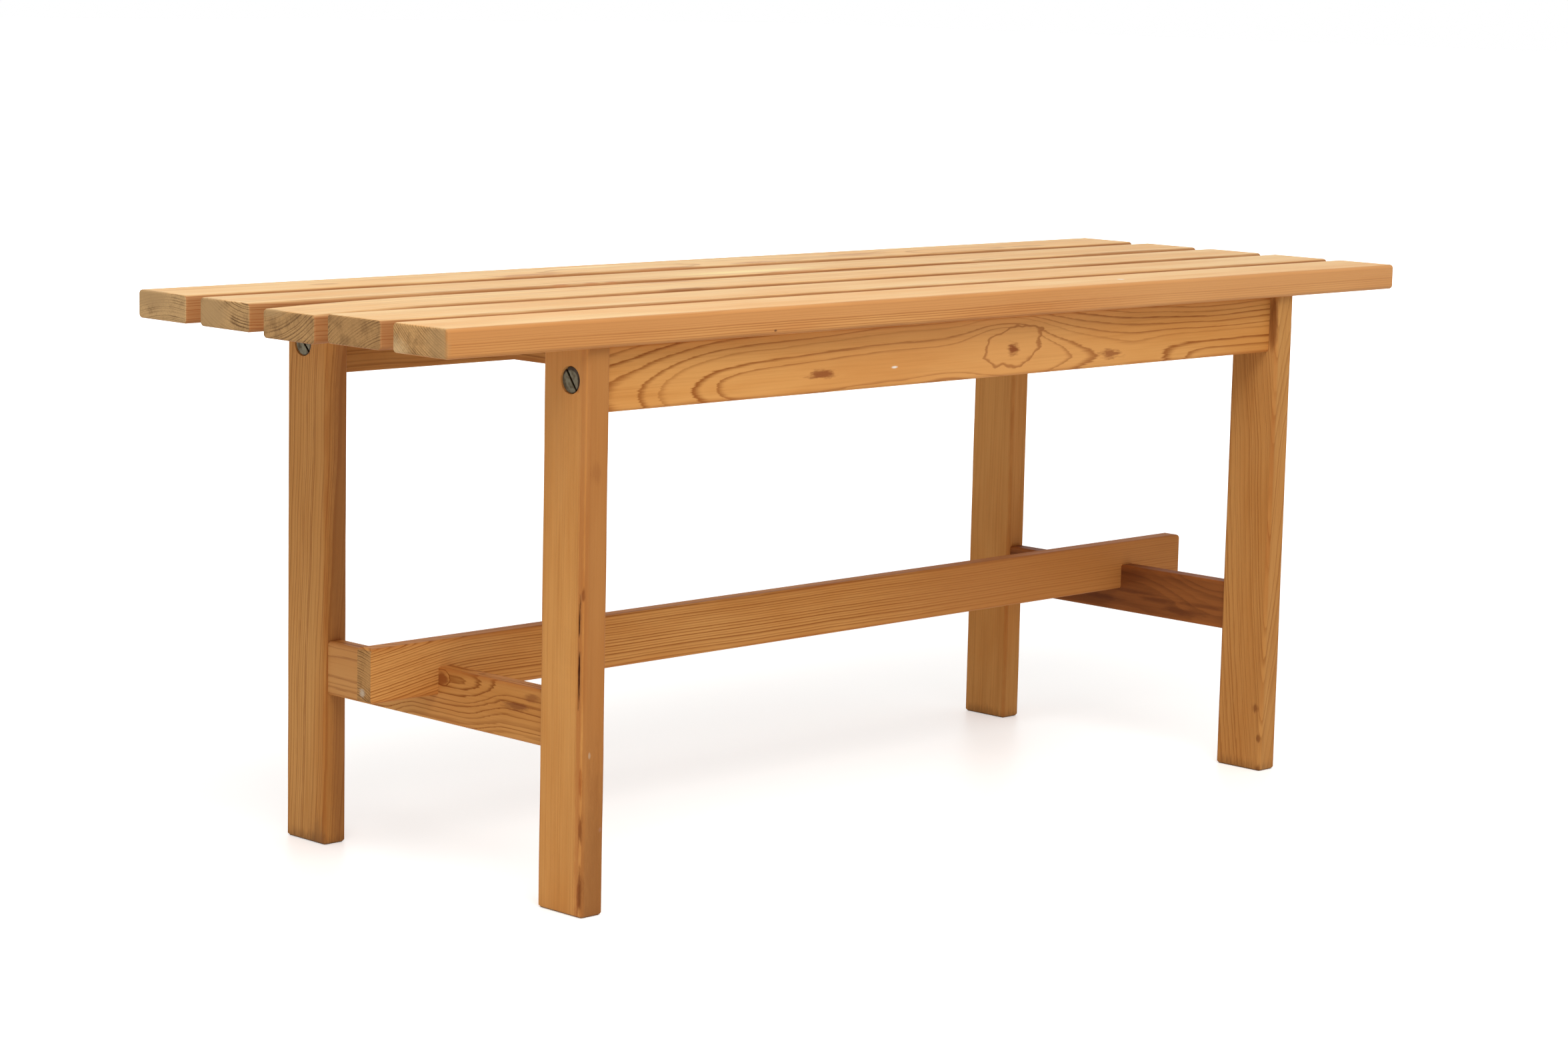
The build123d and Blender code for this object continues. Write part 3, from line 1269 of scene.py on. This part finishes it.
@dataclass
class SlottedScrews:
    """Countersunk wood screws that stand point up, with a thread and a slot.

    Attributes:
        finish: Their finish.
        slot: The name of their metal's slot; not used.
        fill: How much of its eight-sided hole a round screw fills.
        sides: How many flats go round a screw.
        rim: The height of the head's straight edge.
        unthreaded: The share of a screw's length, from its head, that has no thread.
        thread_pitch: One thread to the next.
        thread_depth: How deep the thread is cut.
        blunt: How far the point stays under the hole's end.
        slot_length: The length of the cutter that makes the slot.
        slot_width: The slot's width.
        slot_depth: The slot's depth.
        first_turn: The first screw's slot, in degrees from X.
        turn: From one screw's slot to the next's, in degrees.
    """

    finish: SteelFinish
    slot: str
    fill: float = 0.92
    sides: int = 20
    rim: float = 0.0003
    unthreaded: float = 0.4
    thread_pitch: float = 0.0018
    thread_depth: float = 0.00045
    blunt: float = 0.0002
    slot_length: float = 0.02
    slot_width: float = 0.001
    slot_depth: float = 0.0009
    first_turn: float = 20.0
    turn: float = 37.0

    def outline(self, box: Box) -> list[tuple[float, float]]:
        """Radius and height of each step of one screw, from its head's flat to its point.

        Args:
            box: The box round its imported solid.

        Returns:
            The steps, with heights in the bench's frame.
        """
        bottom, top = box.low.z, box.high.z
        head = (box.high.x - box.low.x) / 2 * self.fill
        shank = head / 2
        root = shank - self.thread_depth
        cone = bottom + self.rim
        steps = [(0.0, bottom), (head, bottom), (head, cone), (shank, cone + head - shank)]
        thread_start = bottom + (top - bottom) * self.unthreaded
        threads = int((top - 2 * shank - thread_start) / self.thread_pitch)
        for number in range(threads):
            level = thread_start + number * self.thread_pitch
            steps += [(root, level), (shank, level + self.thread_pitch / 2)]
        steps.append((root, thread_start + threads * self.thread_pitch))
        steps.append((0.0, top - self.blunt))
        return steps

    def turn_screw(self, work: bmesh.types.BMesh, box: Box) -> None:
        """Adds one round screw, with a flat strip of faces between each step and the next.

        Args:
            work: The open mesh.
            box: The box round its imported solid.
        """
        rows: list[list[bmesh.types.BMVert]] = []
        for radius, level in self.outline(box):
            turns = [math.tau * side / self.sides for side in range(self.sides if radius else 1)]
            rows.append([
                work.verts.new((
                    box.middle.x + radius * math.cos(turn),
                    box.middle.y + radius * math.sin(turn),
                    level,
                ))
                for turn in turns
            ])
        for lower, upper in zip(rows, rows[1:]):
            for side in range(self.sides):
                ring = [lower[side % len(lower)], lower[(side + 1) % len(lower)]]
                ring += [upper[(side + 1) % len(upper)], upper[side % len(upper)]]
                work.faces.new(dict.fromkeys(ring))

    def add_slot(self, work: bmesh.types.BMesh, box: Box, number: int) -> None:
        """Adds the bar that one screw's slot is cut with.

        Args:
            work: The open mesh.
            box: The box round the screw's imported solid.
            number: Which screw of the piece it is, from 0.
        """
        place = Matrix.Translation((box.middle.x, box.middle.y, box.low.z))
        turned = Matrix.Rotation(math.radians(self.turn * number + self.first_turn), 4, "Z")
        size = Matrix.Diagonal((self.slot_length, self.slot_width, 2 * self.slot_depth, 1.0))
        bmesh.ops.create_cube(work, size=1.0, matrix=place @ turned @ size)

    def build(self, node: str, solid: bpy.types.Object) -> None:
        """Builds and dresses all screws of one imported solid, as one piece.

        Args:
            node: Its name.
            solid: Its object.
        """
        screws, slots = bmesh.new(), bmesh.new()
        for number, box in enumerate(islands(solid.data)):
            self.turn_screw(screws, box)
            self.add_slot(slots, box, number)
        piece = stand(f"{node}_slotted", screws)
        carve(piece, stand("slot_cutter", slots))
        joins(piece, node, self.finish.dress(Box.of(node)))


# ---------------------------------------------------------------- sub-assemblies


@dataclass
class SlatTop:
    """Five slats and the three battens that they are screwed to.

    Attributes:
        end_ease: How much the slats' sawn ends are eased.
        droop: How far the middle slat's left end has sagged.
        screws: How the battens' screws are made.
    """

    end_ease: float = 0.0018
    droop: float = 0.0024
    screws: SlottedScrews = field(default_factory=lambda: SlottedScrews(SCREW_STEEL, "screw_steel"))

    def cuts(self) -> dict[str, Cut]:
        """How each slat was sawn.

        Returns:
            The cuts, by the slats' names, from front to back.
        """
        return {
            "front": Cut(
                (-0.070, 0.100),
                pitch=0.0019,
                wander=0.001,
                ripple=0.0003,
                uneven=0.35,
                jag=0.12,
                contrast=0.8,
                seed=11.0,
            ),
            "second": Cut((-0.081, -0.150), pitch=0.0021, contrast=0.8, seed=23.0),
            "middle": Cut((0.043, 0.092), pitch=0.0026, contrast=0.85, seed=37.0),
            "fourth": Cut((-0.035, 0.085), pitch=0.0022, contrast=0.85, seed=41.0),
            "back": Cut((-0.012, -0.130), pitch=0.0022, contrast=0.8, seed=59.0),
        }

    def marks(self) -> dict[str, tuple[Mark, ...]]:
        """The marks on the slats' tops and left ends, and on the front one's face.

        Returns:
            The marks, by the slats' names.
        """
        front = Box.of("slat_front")
        left, face, top = front.low.x, front.low.y, front.high.z
        pale = tint(186, 150, 104)
        tan = tint(190, 128, 78)
        return {
            "front": (
                Mark((0.205, -0.1585, top), (0.004, 0.004, 0.003), tint(244, 240, 236), 1.0, 0.3),
                Mark((-0.234, face, 0.4318), (0.002, 0.003, 0.0012), tint(96, 58, 34), 0.9, 0.4),
                Mark((left, -0.126, 0.429), (0.004, 0.020, 0.014), tint(226, 194, 146), 0.55, 0.5, 0.2),
                Mark((left, -0.176, 0.440), (0.004, 0.022, 0.020), tint(188, 150, 102), 0.6, 0.4, 0.3),
                Mark((0.0, face, 0.446), (1.1, 0.004, 0.0085), tint(210, 148, 88), 0.72, 0.05, 0.6),
                Mark((-0.60, face, 0.440), (0.42, 0.004, 0.05), tint(196, 132, 72), 0.5, 0.1, 0.3),
                Mark((0.45, face, 0.434), (0.38, 0.004, 0.03), tint(215, 156, 98), 0.55, 0.1, 0.6),
            ),
            "middle": (
                Mark((left, 0.018, 0.448), (0.004, 0.020, 0.009), pale, 0.85, 0.5, 0.2),
                Mark((-0.183, -0.032, top), (0.036, 0.006, 0.006), tint(150, 96, 52), 0.75, 0.4),
                Mark((-0.150, 0.022, top), (0.040, 0.008, 0.004), tan, 0.55, 0.5),
                Mark((-0.300, 0.026, top), (0.060, 0.006, 0.004), tan, 0.5, 0.5),
            ),
            "fourth": (
                Mark((left, 0.092, 0.440), (0.004, 0.024, 0.018), pale, 0.85, 0.5, 0.4),
                Mark((-0.249, 0.046, top), (0.014, 0.005, 0.004), tan, 0.85, 0.9),
                Mark((-0.215, 0.046, top), (0.010, 0.004, 0.004), tan, 0.8, 0.9),
                Mark((-0.192, 0.046, top), (0.008, 0.004, 0.004), tan, 0.8, 0.9),
                Mark((-0.020, 0.064, top), (0.110, 0.014, 0.004), tint(255, 232, 168), 0.75, 0.3, 0.2),
                Mark((0.020, 0.046, top), (0.040, 0.005, 0.004), tan, 0.6, 0.6),
            ),
            "back": (
                Mark((left, 0.168, 0.446), (0.004, 0.030, 0.012), pale, 0.85, 0.5, 0.3),
                Mark((-0.210, 0.131, top), (0.050, 0.009, 0.004), tan, 0.7, 0.6),
                Mark((-0.060, 0.126, top), (0.045, 0.008, 0.004), tan, 0.65, 0.6),
                Mark((0.055, 0.130, top), (0.040, 0.009, 0.004), tan, 0.65, 0.6),
                Mark((0.200, 0.150, top), (0.050, 0.012, 0.004), tan, 0.5, 0.6),
                Mark((-0.110, 0.165, top), (0.060, 0.010, 0.004), tint(255, 226, 172), 0.6, 0.4),
            ),
        }

    def slats(self) -> list[Member]:
        """The slats, each with its own figure, marks and tone of sawn end.

        Returns:
            The slats, from front to back.
        """
        marks = self.marks()
        ends = {
            "front": tint(208, 161, 104),
            "second": tint(185, 142, 91),
            "middle": tint(193, 150, 98),
            "back": tint(206, 167, 116),
        }
        return [
            Member(
                node=f"slat_{name}",
                slot="slat_pine",
                grain=Grain.LENGTHWISE,
                # The slats behind the front one take the finish with painted shade on their sides.
                finish=replace(
                    SLAT_PINE if name == "front" else GAP_SHADE_PINE,
                    end_early=ends.get(name, SLAT_PINE.end_early),
                ),
                cut=cut,
                marks=marks.get(name, ()),
                end_ease=self.end_ease,
                droop=self.droop if name == "middle" else 0.0,
            )
            for name, cut in self.cuts().items()
        ]

    def battens(self) -> list[Member]:
        """The battens, plain and unworn.

        Returns:
            The battens, from left to right.
        """
        return [
            Member(
                node=f"batten_{name}",
                slot="batten_pine",
                grain=Grain.CROSSWISE,
                finish=SHADED_PINE,
                cut=Cut((0.02, 0.03), seed=67.0 + number),
                step=0.02,
                rub=0.0,
            )
            for number, name in enumerate(("left", "middle", "right"))
        ]

    def build(self, nodes: dict[str, bpy.types.Object]) -> None:
        """Builds and dresses the whole top.

        Args:
            nodes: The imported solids, by name.
        """
        for member in (*self.slats(), *self.battens()):
            member.build(nodes[member.node])
        for name in ("left", "middle", "right"):
            node = f"batten_screws_{name}"
            self.screws.build(node, nodes[node])


@dataclass
class EndFrame:
    """Two legs and the low cross rail between them.

    Attributes:
        end: Which end of the bench this is.
        screw: How the halved joint's screw is made.
    """

    end: str
    screw: SlottedScrews = field(default_factory=lambda: SlottedScrews(SCREW_STEEL, "screw_steel"))

    def foot(self, leg: str) -> Mark:
        """Floor grime round one leg's foot."""
        middle = Box.of(leg).middle
        return Mark((middle.x, middle.y, 0.0), (0.035, 0.045, 0.011), tint(112, 74, 42), 0.5, 0.6, 0.1)

    def front_left(self) -> Member:
        """The front left leg, stained and split beside its front arris.

        Returns:
            The leg.
        """
        pale = tint(236, 214, 180)
        return Member(
            node="leg_front_left",
            grain=Grain.UPRIGHT,
            cut=Cut((0.020, 0.110), pitch=0.0024, contrast=0.16, seed=71.0, ripple=0.0005),
            marks=(
                Mark((-0.4195, -0.1762, 0.103), (0.0035, 0.0022, 0.014), tint(166, 92, 38), 0.8, 0.8),
                Mark((-0.4195, -0.1760, 0.067), (0.0035, 0.0024, 0.013), WET_AND_SHADE, 0.85, 0.8),
                Mark((-0.4195, -0.1762, 0.020), (0.0042, 0.0030, 0.022), WET_AND_SHADE, 0.95, 0.9),
                Mark((-0.4195, -0.1765, 0.245), (0.0030, 0.0016, 0.006), WET_AND_SHADE, 0.8, 0.7),
                Mark((-0.4139, -0.179, 0.1239), (0.0016, 0.002, 0.0032), pale, 0.9, 0.6),
                Mark((-0.4021, -0.179, 0.066), (0.0018, 0.002, 0.0022), tint(226, 176, 160), 0.8, 0.6),
                Mark((-0.4112, -0.179, 0.335), (0.008, 0.003, 0.010), tint(150, 92, 46), 0.45, 0.8),
                Mark((-0.420, -0.1735, 0.214), (0.004, 0.0042, 0.45), tint(176, 100, 46), 0.5, 0.4),
                Mark((-0.406, -0.1798, 0.214), (0.024, 0.003, 0.50), tint(160, 102, 54), 0.62, 0.1, 0.9),
                Mark((-0.406, -0.1798, 0.0), (0.020, 0.003, 0.16), tint(128, 78, 38), 0.5, 0.3, 0.3),
                Mark((-0.420, -0.150, 0.400), (0.004, 0.060, 0.13), tint(214, 162, 100), 0.35, 0.2, 0.1),
                # Painted shade: dark brown inside the two splits, set just under the face.
                Mark((-0.4135, -0.1724, 0.201), (0.0062, 0.004, 0.065), tint(86, 44, 20), 1.0, 0.0, 0.95),
            ),
            splits=(
                Split(-0.420, -0.1724, 0.2115, 0.2460, 0.0036, 0.008, 3.0),
                Split(-0.420, -0.1726, 0.157, 0.203, 0.0042, 0.009, 8.0),
            ),
        )

    def back_left(self) -> Member:
        """The back left leg, with close leaning lines and a dirty foot.

        Returns:
            The leg.
        """
        lines = Cut(
            (0.030, -0.060), pitch=0.0030, lean=(0.01, -0.035), wander=0.006, contrast=0.6, seed=83.0
        )
        return Member(
            node="leg_back_left",
            grain=Grain.UPRIGHT,
            # Painted shade: the whole leg is toned darker for the shade it stands in under the top.
            finish=FRAME_PINE.toned(0.90),
            cut=lines,
            marks=(
                # Painted shade on the leg's inner narrow face, which looks into the bench.
                Mark((-0.402, 0.126, 0.214), (0.020, 0.004, 0.55), tint(154, 100, 56), 0.6, 0.1, 0.8),
                Mark((-0.420, 0.138, 0.0), (0.004, 0.014, 0.024), tint(118, 82, 54), 0.35, 0.6),
                self.foot("leg_back_left"),
            ),
        )

    def front_right(self) -> Member:
        """The front right leg, darker than the others.

        Returns:
            The leg.
        """
        return Member(
            node="leg_front_right",
            grain=Grain.UPRIGHT,
            finish=FRAME_PINE.toned(0.83),
            cut=Cut((0.06, 0.09), pitch=0.0030, lean=(0.0, 0.10), wander=0.006, contrast=0.52, seed=97.0),
            marks=(
                Mark((0.398, -0.172, 0.0566), (0.004, 0.004, 0.005), WET_AND_SHADE, 0.7, 0.8),
                Mark((0.398, -0.176, 0.030), (0.004, 0.003, 0.004), WET_AND_SHADE, 0.7, 0.8),
                # Painted shade in the corner where the front apron's right end meets this leg, on the
                # strip of its face that stands proud of the apron.
                Mark((0.398, -0.1745, 0.403), (0.003, 0.006, 0.028), WET_AND_SHADE, 0.7, 0.3, 0.5),
                Mark((0.398, -0.1765, 0.0), (0.004, 0.005, 0.007), WET_AND_SHADE, 0.7, 0.5),
                self.foot("leg_front_right"),
            ),
        )

    def back_right(self) -> Member:
        """The back right leg, plain.

        Returns:
            The leg.
        """
        return Member(
            node="leg_back_right",
            grain=Grain.UPRIGHT,
            cut=Cut((0.06, -0.08), pitch=0.0026, contrast=0.12, seed=101.0),
            marks=(self.foot("leg_back_right"),),
        )

    def left_rail(self) -> Member:
        """The left rail, flat sawn, so that its rings show as broad loops about a knot.

        Returns:
            The rail.
        """
        node = "cross_rail_left"
        face = Box.of(node).low.x
        loops = Cut(
            (-0.004, 0.0155),
            pitch=0.0040,
            bends=(Bend(-0.030, -0.090, (0.012, 0.006)), Bend(0.020, 0.060, (0.006, -0.012))),
            wander=0.0018,
            ripple=0.0030,
            uneven=0.65,
            jag=0.25,
            clear=0.002,
            late=0.5,
            seed=113.0,
        )
        return Member(
            node=node,
            grain=Grain.CROSSWISE,
            finish=FRAME_PINE.toned(0.95),
            cut=loops,
            knots=(Knot((face, -0.012, 0.1585), (0.02, 0.010, 0.0072), -0.5, 0.25),),
            marks=(
                Mark((face, -0.127, 0.172), (0.003, 0.012, 0.004), tint(120, 64, 30), 0.6, 0.8),
                Mark((face, -0.100, 0.149), (0.003, 0.018, 0.004), tint(118, 60, 26), 0.7, 0.9),
                Mark((face, -0.118, 0.158), (0.003, 0.010, 0.004), tint(130, 70, 32), 0.6, 0.9),
                Mark((face, -0.012, 0.1570), (0.003, 0.009, 0.006), tint(146, 80, 34), 0.85, 0.5, 0.5),
                Mark((face, 0.110, 0.160), (0.003, 0.085, 0.040), tint(204, 146, 90), 0.45, 0.2, 0.85),
            ),
            round_radius=0.002,
        )

    def right_rail(self) -> Member:
        """The right rail, of redder wood, with dark red streaks on its inner face.

        Returns:
            The rail.
        """
        node = "cross_rail_right"
        face = Box.of(node).low.x
        red = tint(92, 46, 24)
        marbled = Cut(
            (0.013, -0.004),
            pitch=0.0052,
            bends=(Bend(-0.02, -0.12, (0.004, -0.020)),),
            wander=0.004,
            ripple=0.003,
            uneven=0.6,
            clear=0.004,
            late=0.85,
            contrast=0.35,
            seed=107.0,
        )
        streaks = (
            (0.014, 0.1335, 0.030, 0.0035, 0.6, 0.5),
            (-0.022, 0.1430, 0.036, 0.0026, 0.55, 0.4),
            (-0.054, 0.1385, 0.028, 0.0034, 0.55, 0.5),
            (-0.082, 0.1320, 0.032, 0.0048, 0.6, 0.6),
            (-0.104, 0.1400, 0.034, 0.0024, 0.5, 0.5),
            (-0.020, 0.1580, 0.024, 0.0090, 0.4, 0.6),
        )
        return Member(
            node=node,
            grain=Grain.CROSSWISE,
            finish=RED_PINE,
            cut=marbled,
            marks=tuple(
                Mark((face, along, height), (0.003, length, width), red, strength, ragged)
                for along, height, length, width, strength, ragged in streaks
            ),
            round_radius=0.002,
        )

    def members(self) -> list[Member]:
        """This end's wooden members.

        Returns:
            The front leg, the back leg and the rail.
        """
        if self.end == "left":
            return [self.front_left(), self.back_left(), self.left_rail()]
        return [self.front_right(), self.back_right(), self.right_rail()]

    def build(self, nodes: dict[str, bpy.types.Object]) -> None:
        """Builds and dresses this end of the bench.

        Args:
            nodes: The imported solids, by name.
        """
        for member in self.members():
            member.build(nodes[member.node])
        node = f"lap_screw_{self.end}"
        self.screw.build(node, nodes[node])


@dataclass
class LongRails:
    """The two aprons under the outer slats and the low stretcher.

    Attributes:
        stretcher_ease: How much the stretcher's sawn ends are eased.
        apron_ease: How much the aprons' sawn ends are eased.
    """

    stretcher_ease: float = 0.0010
    apron_ease: float = 0.0008

    def front_apron(self) -> Member:
        """The front apron, with loops at the left, an eye and close lines at the right.

        Returns:
            The apron.
        """
        face = Box.of("apron_front").low.y
        brown = tint(140, 74, 34)
        deep = 0.03
        bends = (
            Bend(-0.430, -0.225, (-0.030, 0.0)),
            Bend(-0.260, -0.080, (0.0, 0.006)),
            Bend(0.020, 0.110, (0.0, -0.006)),
            Bend(0.040, 0.240, (0.016, 0.0)),
            Bend(0.195, 0.325, (-0.013, -0.010)),
        )
        return Member(
            node="apron_front",
            grain=Grain.LENGTHWISE,
            finish=FRAME_PINE.toned(1.06),
            cut=Cut(
                (0.028, -0.014),
                pitch=0.0056,
                bends=bends,
                wander=0.0012,
                ripple=0.0018,
                uneven=0.35,
                jag=0.2,
                clear=0.0102,
                late=0.45,
                seed=127.0,
            ),
            swells=(
                Swell((0.057, face, 0.408), (0.050, deep, 0.024), -0.015),
                Swell((-0.016, face, 0.379), (0.038, deep, 0.008), 0.003),
                Swell((0.290, face, 0.440), (0.170, deep, 0.030), 0.012),
            ),
            knots=(Knot((0.057, face, 0.4015), (0.034, 0.02, 0.0185), 0.35),),
            marks=(
                Mark((0.0, face, 0.400), (0.30, 0.003, 0.10), tint(228, 166, 104), 0.3, 0.1, 0.1),
                Mark((0.057, face, 0.400), (0.0085, 0.003, 0.007), brown, 0.95, 0.9),
                Mark((-0.167, face, 0.3926), (0.019, 0.003, 0.004), brown, 0.85, 0.9),
                Mark((0.180, face, 0.3886), (0.018, 0.003, 0.005), brown, 0.75, 1.0),
                Mark((-0.0845, face, 0.3934), (0.0045, 0.003, 0.0012), tint(248, 240, 228), 0.95, 0.2),
            ),
            end_ease=self.apron_ease,
            round_radius=0.0025,
        )

    def back_apron(self) -> Member:
        """The back apron, plain.

        Returns:
            The apron.
        """
        return Member(
            node="apron_back",
            grain=Grain.LENGTHWISE,
            finish=SHADED_PINE,
            cut=Cut((0.030, 0.020), pitch=0.0028, contrast=0.55, seed=131.0),
            end_ease=self.apron_ease,
            round_radius=0.0025,
        )

    def stretcher(self) -> Member:
        """The stretcher, close ringed, with a chip at its left end and darker at its right.

        Returns:
            The stretcher.
        """
        return Member(
            node="stretcher",
            grain=Grain.LENGTHWISE,
            finish=FRAME_PINE.toned(1.03),
            cut=Cut(
                (0.012, -0.048),
                pitch=0.0019,
                bends=(Bend(-0.52, -0.38, (0.0, 0.015)),),
                wander=0.0015,
                ripple=0.0005,
                uneven=0.4,
                late=0.7,
                seed=139.0,
            ),
            marks=(
                Mark((-0.484, 0.002, 0.152), (0.003, 0.004, 0.004), tint(206, 190, 168), 0.7, 0.7),
                Mark((0.370, 0.0, 0.165), (0.330, 0.04, 0.08), tint(186, 120, 62), 0.72, 0.1, 0.5),
            ),
            end_ease=self.stretcher_ease,
            round_radius=0.002,
        )

    def build(self, nodes: dict[str, bpy.types.Object]) -> None:
        """Builds and dresses the long rails."""
        for member in (self.front_apron(), self.back_apron(), self.stretcher()):
            member.build(nodes[member.node])


@dataclass
class BoltedCorner:
    """One corner's bolt, barrel nut and wooden pins.

    Attributes:
        corner: The corner's name.
        bolt: How the bolt is finished.
        nut: How the nut is finished.
        pegs: How the pins are finished.
    """

    corner: str
    bolt: TurnedSteel = field(default_factory=lambda: TurnedSteel(BOLT_STEEL, "bolt_steel"))
    nut: TurnedSteel = field(default_factory=lambda: TurnedSteel(NUT_STEEL, "nut_steel", 0.0003))
    pegs: PegFinish = BEECH

    def build(self, nodes: dict[str, bpy.types.Object]) -> None:
        """Builds and dresses the corner's fasteners.

        Args:
            nodes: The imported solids, by name.
        """
        for kind, maker in (("bolt", self.bolt), ("barrel_nut", self.nut)):
            node = f"{kind}_{self.corner}"
            maker.build(node, nodes[node])
        material = self.pegs.dress()
        for kind in ("apron_pins", "top_pin"):
            peg = nodes[f"{kind}_{self.corner}"]
            peg.data.materials.clear()
            peg.data.materials.append(material)
            LOG.info("%s keeps its packed shape", peg.name)


# ---------------------------------------------------------------- studio


@dataclass(frozen=True)
class Studio:
    """A pale floor, soft light from above and the camera.

    Attributes:
        eye: Where the camera stands.
        heading: Its direction in plan, in degrees from +Y towards +X.
        dip: How far it looks down, in degrees.
        roll: How far it leans over, in degrees.
        lens: Its focal length in millimetres, on a sensor 36 wide.
        floor_half: Half the floor's side.
        floor_tint: The floor's colour.
        floor_lift: How much whiter than its colour the floor looks, without lighting the bench.
        floor_fade: Between which distances from the bench the floor turns white.
        sky: How bright the room is.
        sky_tint: The colour of its light.
        lamp_power: The lamp's power, in watts.
        lamp_tint: The colour of its light.
        lamp_at: Where it hangs.
        lamp_aim: Where it points.
        lamp_size: Its two sides.
    """

    eye: Triple = (-2.2563, -2.2093, 0.7089)
    heading: float = 45.163
    dip: float = 8.448
    roll: float = 1.27
    lens: float = 86.41
    floor_half: float = 30.0
    floor_tint: Tint = (0.88, 0.875, 0.865)
    floor_lift: float = 0.43
    floor_fade: tuple[float, float] = (0.8, 4.5)
    sky: float = 0.52
    sky_tint: Tint = (1.0, 0.985, 0.96)
    lamp_power: float = 76.0
    lamp_tint: Tint = (1.0, 0.98, 0.95)
    lamp_at: Triple = (-1.2, -1.7, 3.0)
    lamp_aim: Triple = (0.0, 0.0, 0.3)
    lamp_size: tuple[float, float] = (2.4, 2.0)

    def camera(self) -> None:
        """Stands the camera where the bench is seen from its left front corner."""
        heading, dip, roll = (math.radians(angle) for angle in (self.heading, self.dip, self.roll))
        ahead = Vector((
            math.cos(dip) * math.sin(heading),
            math.cos(dip) * math.cos(heading),
            -math.sin(dip),
        ))
        level = Vector((math.cos(heading), -math.sin(heading), 0.0))
        upright = level.cross(ahead)
        right = math.cos(roll) * level + math.sin(roll) * upright
        up = math.cos(roll) * upright - math.sin(roll) * level
        data = bpy.data.cameras.new("camera")
        data.lens = self.lens
        data.sensor_width = 36.0
        data.sensor_fit = "HORIZONTAL"
        data.clip_end = 100.0
        camera = bpy.data.objects.new("camera", data)
        turned = Matrix((right, up, -ahead)).transposed().to_4x4()
        camera.matrix_world = Matrix.Translation(self.eye) @ turned
        bpy.context.scene.collection.objects.link(camera)
        bpy.context.scene.camera = camera

    def floor(self) -> None:
        """Lays the floor, which hides nothing from beneath."""
        work = bmesh.new()
        bmesh.ops.create_grid(work, x_segments=2, y_segments=2, size=self.floor_half)
        mesh = bpy.data.meshes.new("floor")
        work.to_mesh(mesh)
        work.free()
        sheet = NodeSheet("floor")
        distance = sheet.vectors("LENGTH", sheet.place())
        further = sheet.times(sheet.span(distance, *self.floor_fade), 1.0 - self.floor_lift)
        lift = sheet.times(sheet.calc("ADD", further, self.floor_lift), sheet.seen())
        painted = sheet.node(
            "ShaderNodeBsdfPrincipled",
            {"Base Color": (*self.floor_tint, 1.0), "Roughness": 0.42, "Specular IOR Level": 0.35},
        )
        glow = sheet.node("ShaderNodeEmission", {"Strength": lift})
        both = sheet.node("ShaderNodeAddShader", {0: painted.outputs[0], 1: glow.outputs[0]})
        below = sheet.node("ShaderNodeNewGeometry").outputs["Backfacing"]
        clear = sheet.node("ShaderNodeBsdfTransparent")
        one_sided = sheet.node(
            "ShaderNodeMixShader", {0: below, 1: both.outputs[0], 2: clear.outputs[0]}
        )
        sheet.node("ShaderNodeOutputMaterial", {"Surface": one_sided.outputs[0]})
        mesh.materials.append(sheet.material)
        floor = bpy.data.objects.new("floor", mesh)
        bpy.context.scene.collection.objects.link(floor)

    def room(self) -> None:
        """Sets the room's even light, with a white wall behind all that is seen."""
        world = bpy.data.worlds.new("room")
        world.use_nodes = True
        sheet = NodeSheet.over(world.node_tree)
        light = sheet.node(
            "ShaderNodeBackground", {"Color": (*self.sky_tint, 1.0), "Strength": self.sky}
        )
        wall = sheet.node("ShaderNodeBackground", {"Color": (1.0, 1.0, 1.0, 1.0), "Strength": 1.0})
        mixed = sheet.node(
            "ShaderNodeMixShader", {0: sheet.seen(), 1: light.outputs[0], 2: wall.outputs[0]}
        )
        sheet.node("ShaderNodeOutputWorld", {"Surface": mixed.outputs[0]})
        bpy.context.scene.world = world

    def lamp(self) -> None:
        """Hangs one broad soft lamp, ahead of the bench and to its left."""
        data = bpy.data.lights.new("lamp", "AREA")
        data.shape = "RECTANGLE"
        data.size, data.size_y = self.lamp_size
        data.energy = self.lamp_power
        data.color = self.lamp_tint
        lamp = bpy.data.objects.new("lamp", data)
        lamp.location = self.lamp_at
        towards = Vector(self.lamp_aim) - lamp.location
        lamp.rotation_euler = towards.to_track_quat("-Z", "Y").to_euler()
        bpy.context.scene.collection.objects.link(lamp)

    def build(self) -> None:
        """Sets the whole studio up."""
        self.camera()
        self.floor()
        self.room()
        self.lamp()
        bpy.context.scene.view_settings.view_transform = "Standard"
        LOG.info("studio: floor, lamp, room and camera")


def main() -> None:
    """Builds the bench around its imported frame."""
    logging.basicConfig(level=logging.INFO, format="%(name)s: %(message)s")
    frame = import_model()
    nodes = frame["nodes"]
    SlatTop().build(nodes)
    for end in ("left", "right"):
        EndFrame(end).build(nodes)
    LongRails().build(nodes)
    for corner in ("front_left", "front_right", "back_left", "back_right"):
        BoltedCorner(corner).build(nodes)
    Studio().build()


if __name__ == "__main__":
    main()
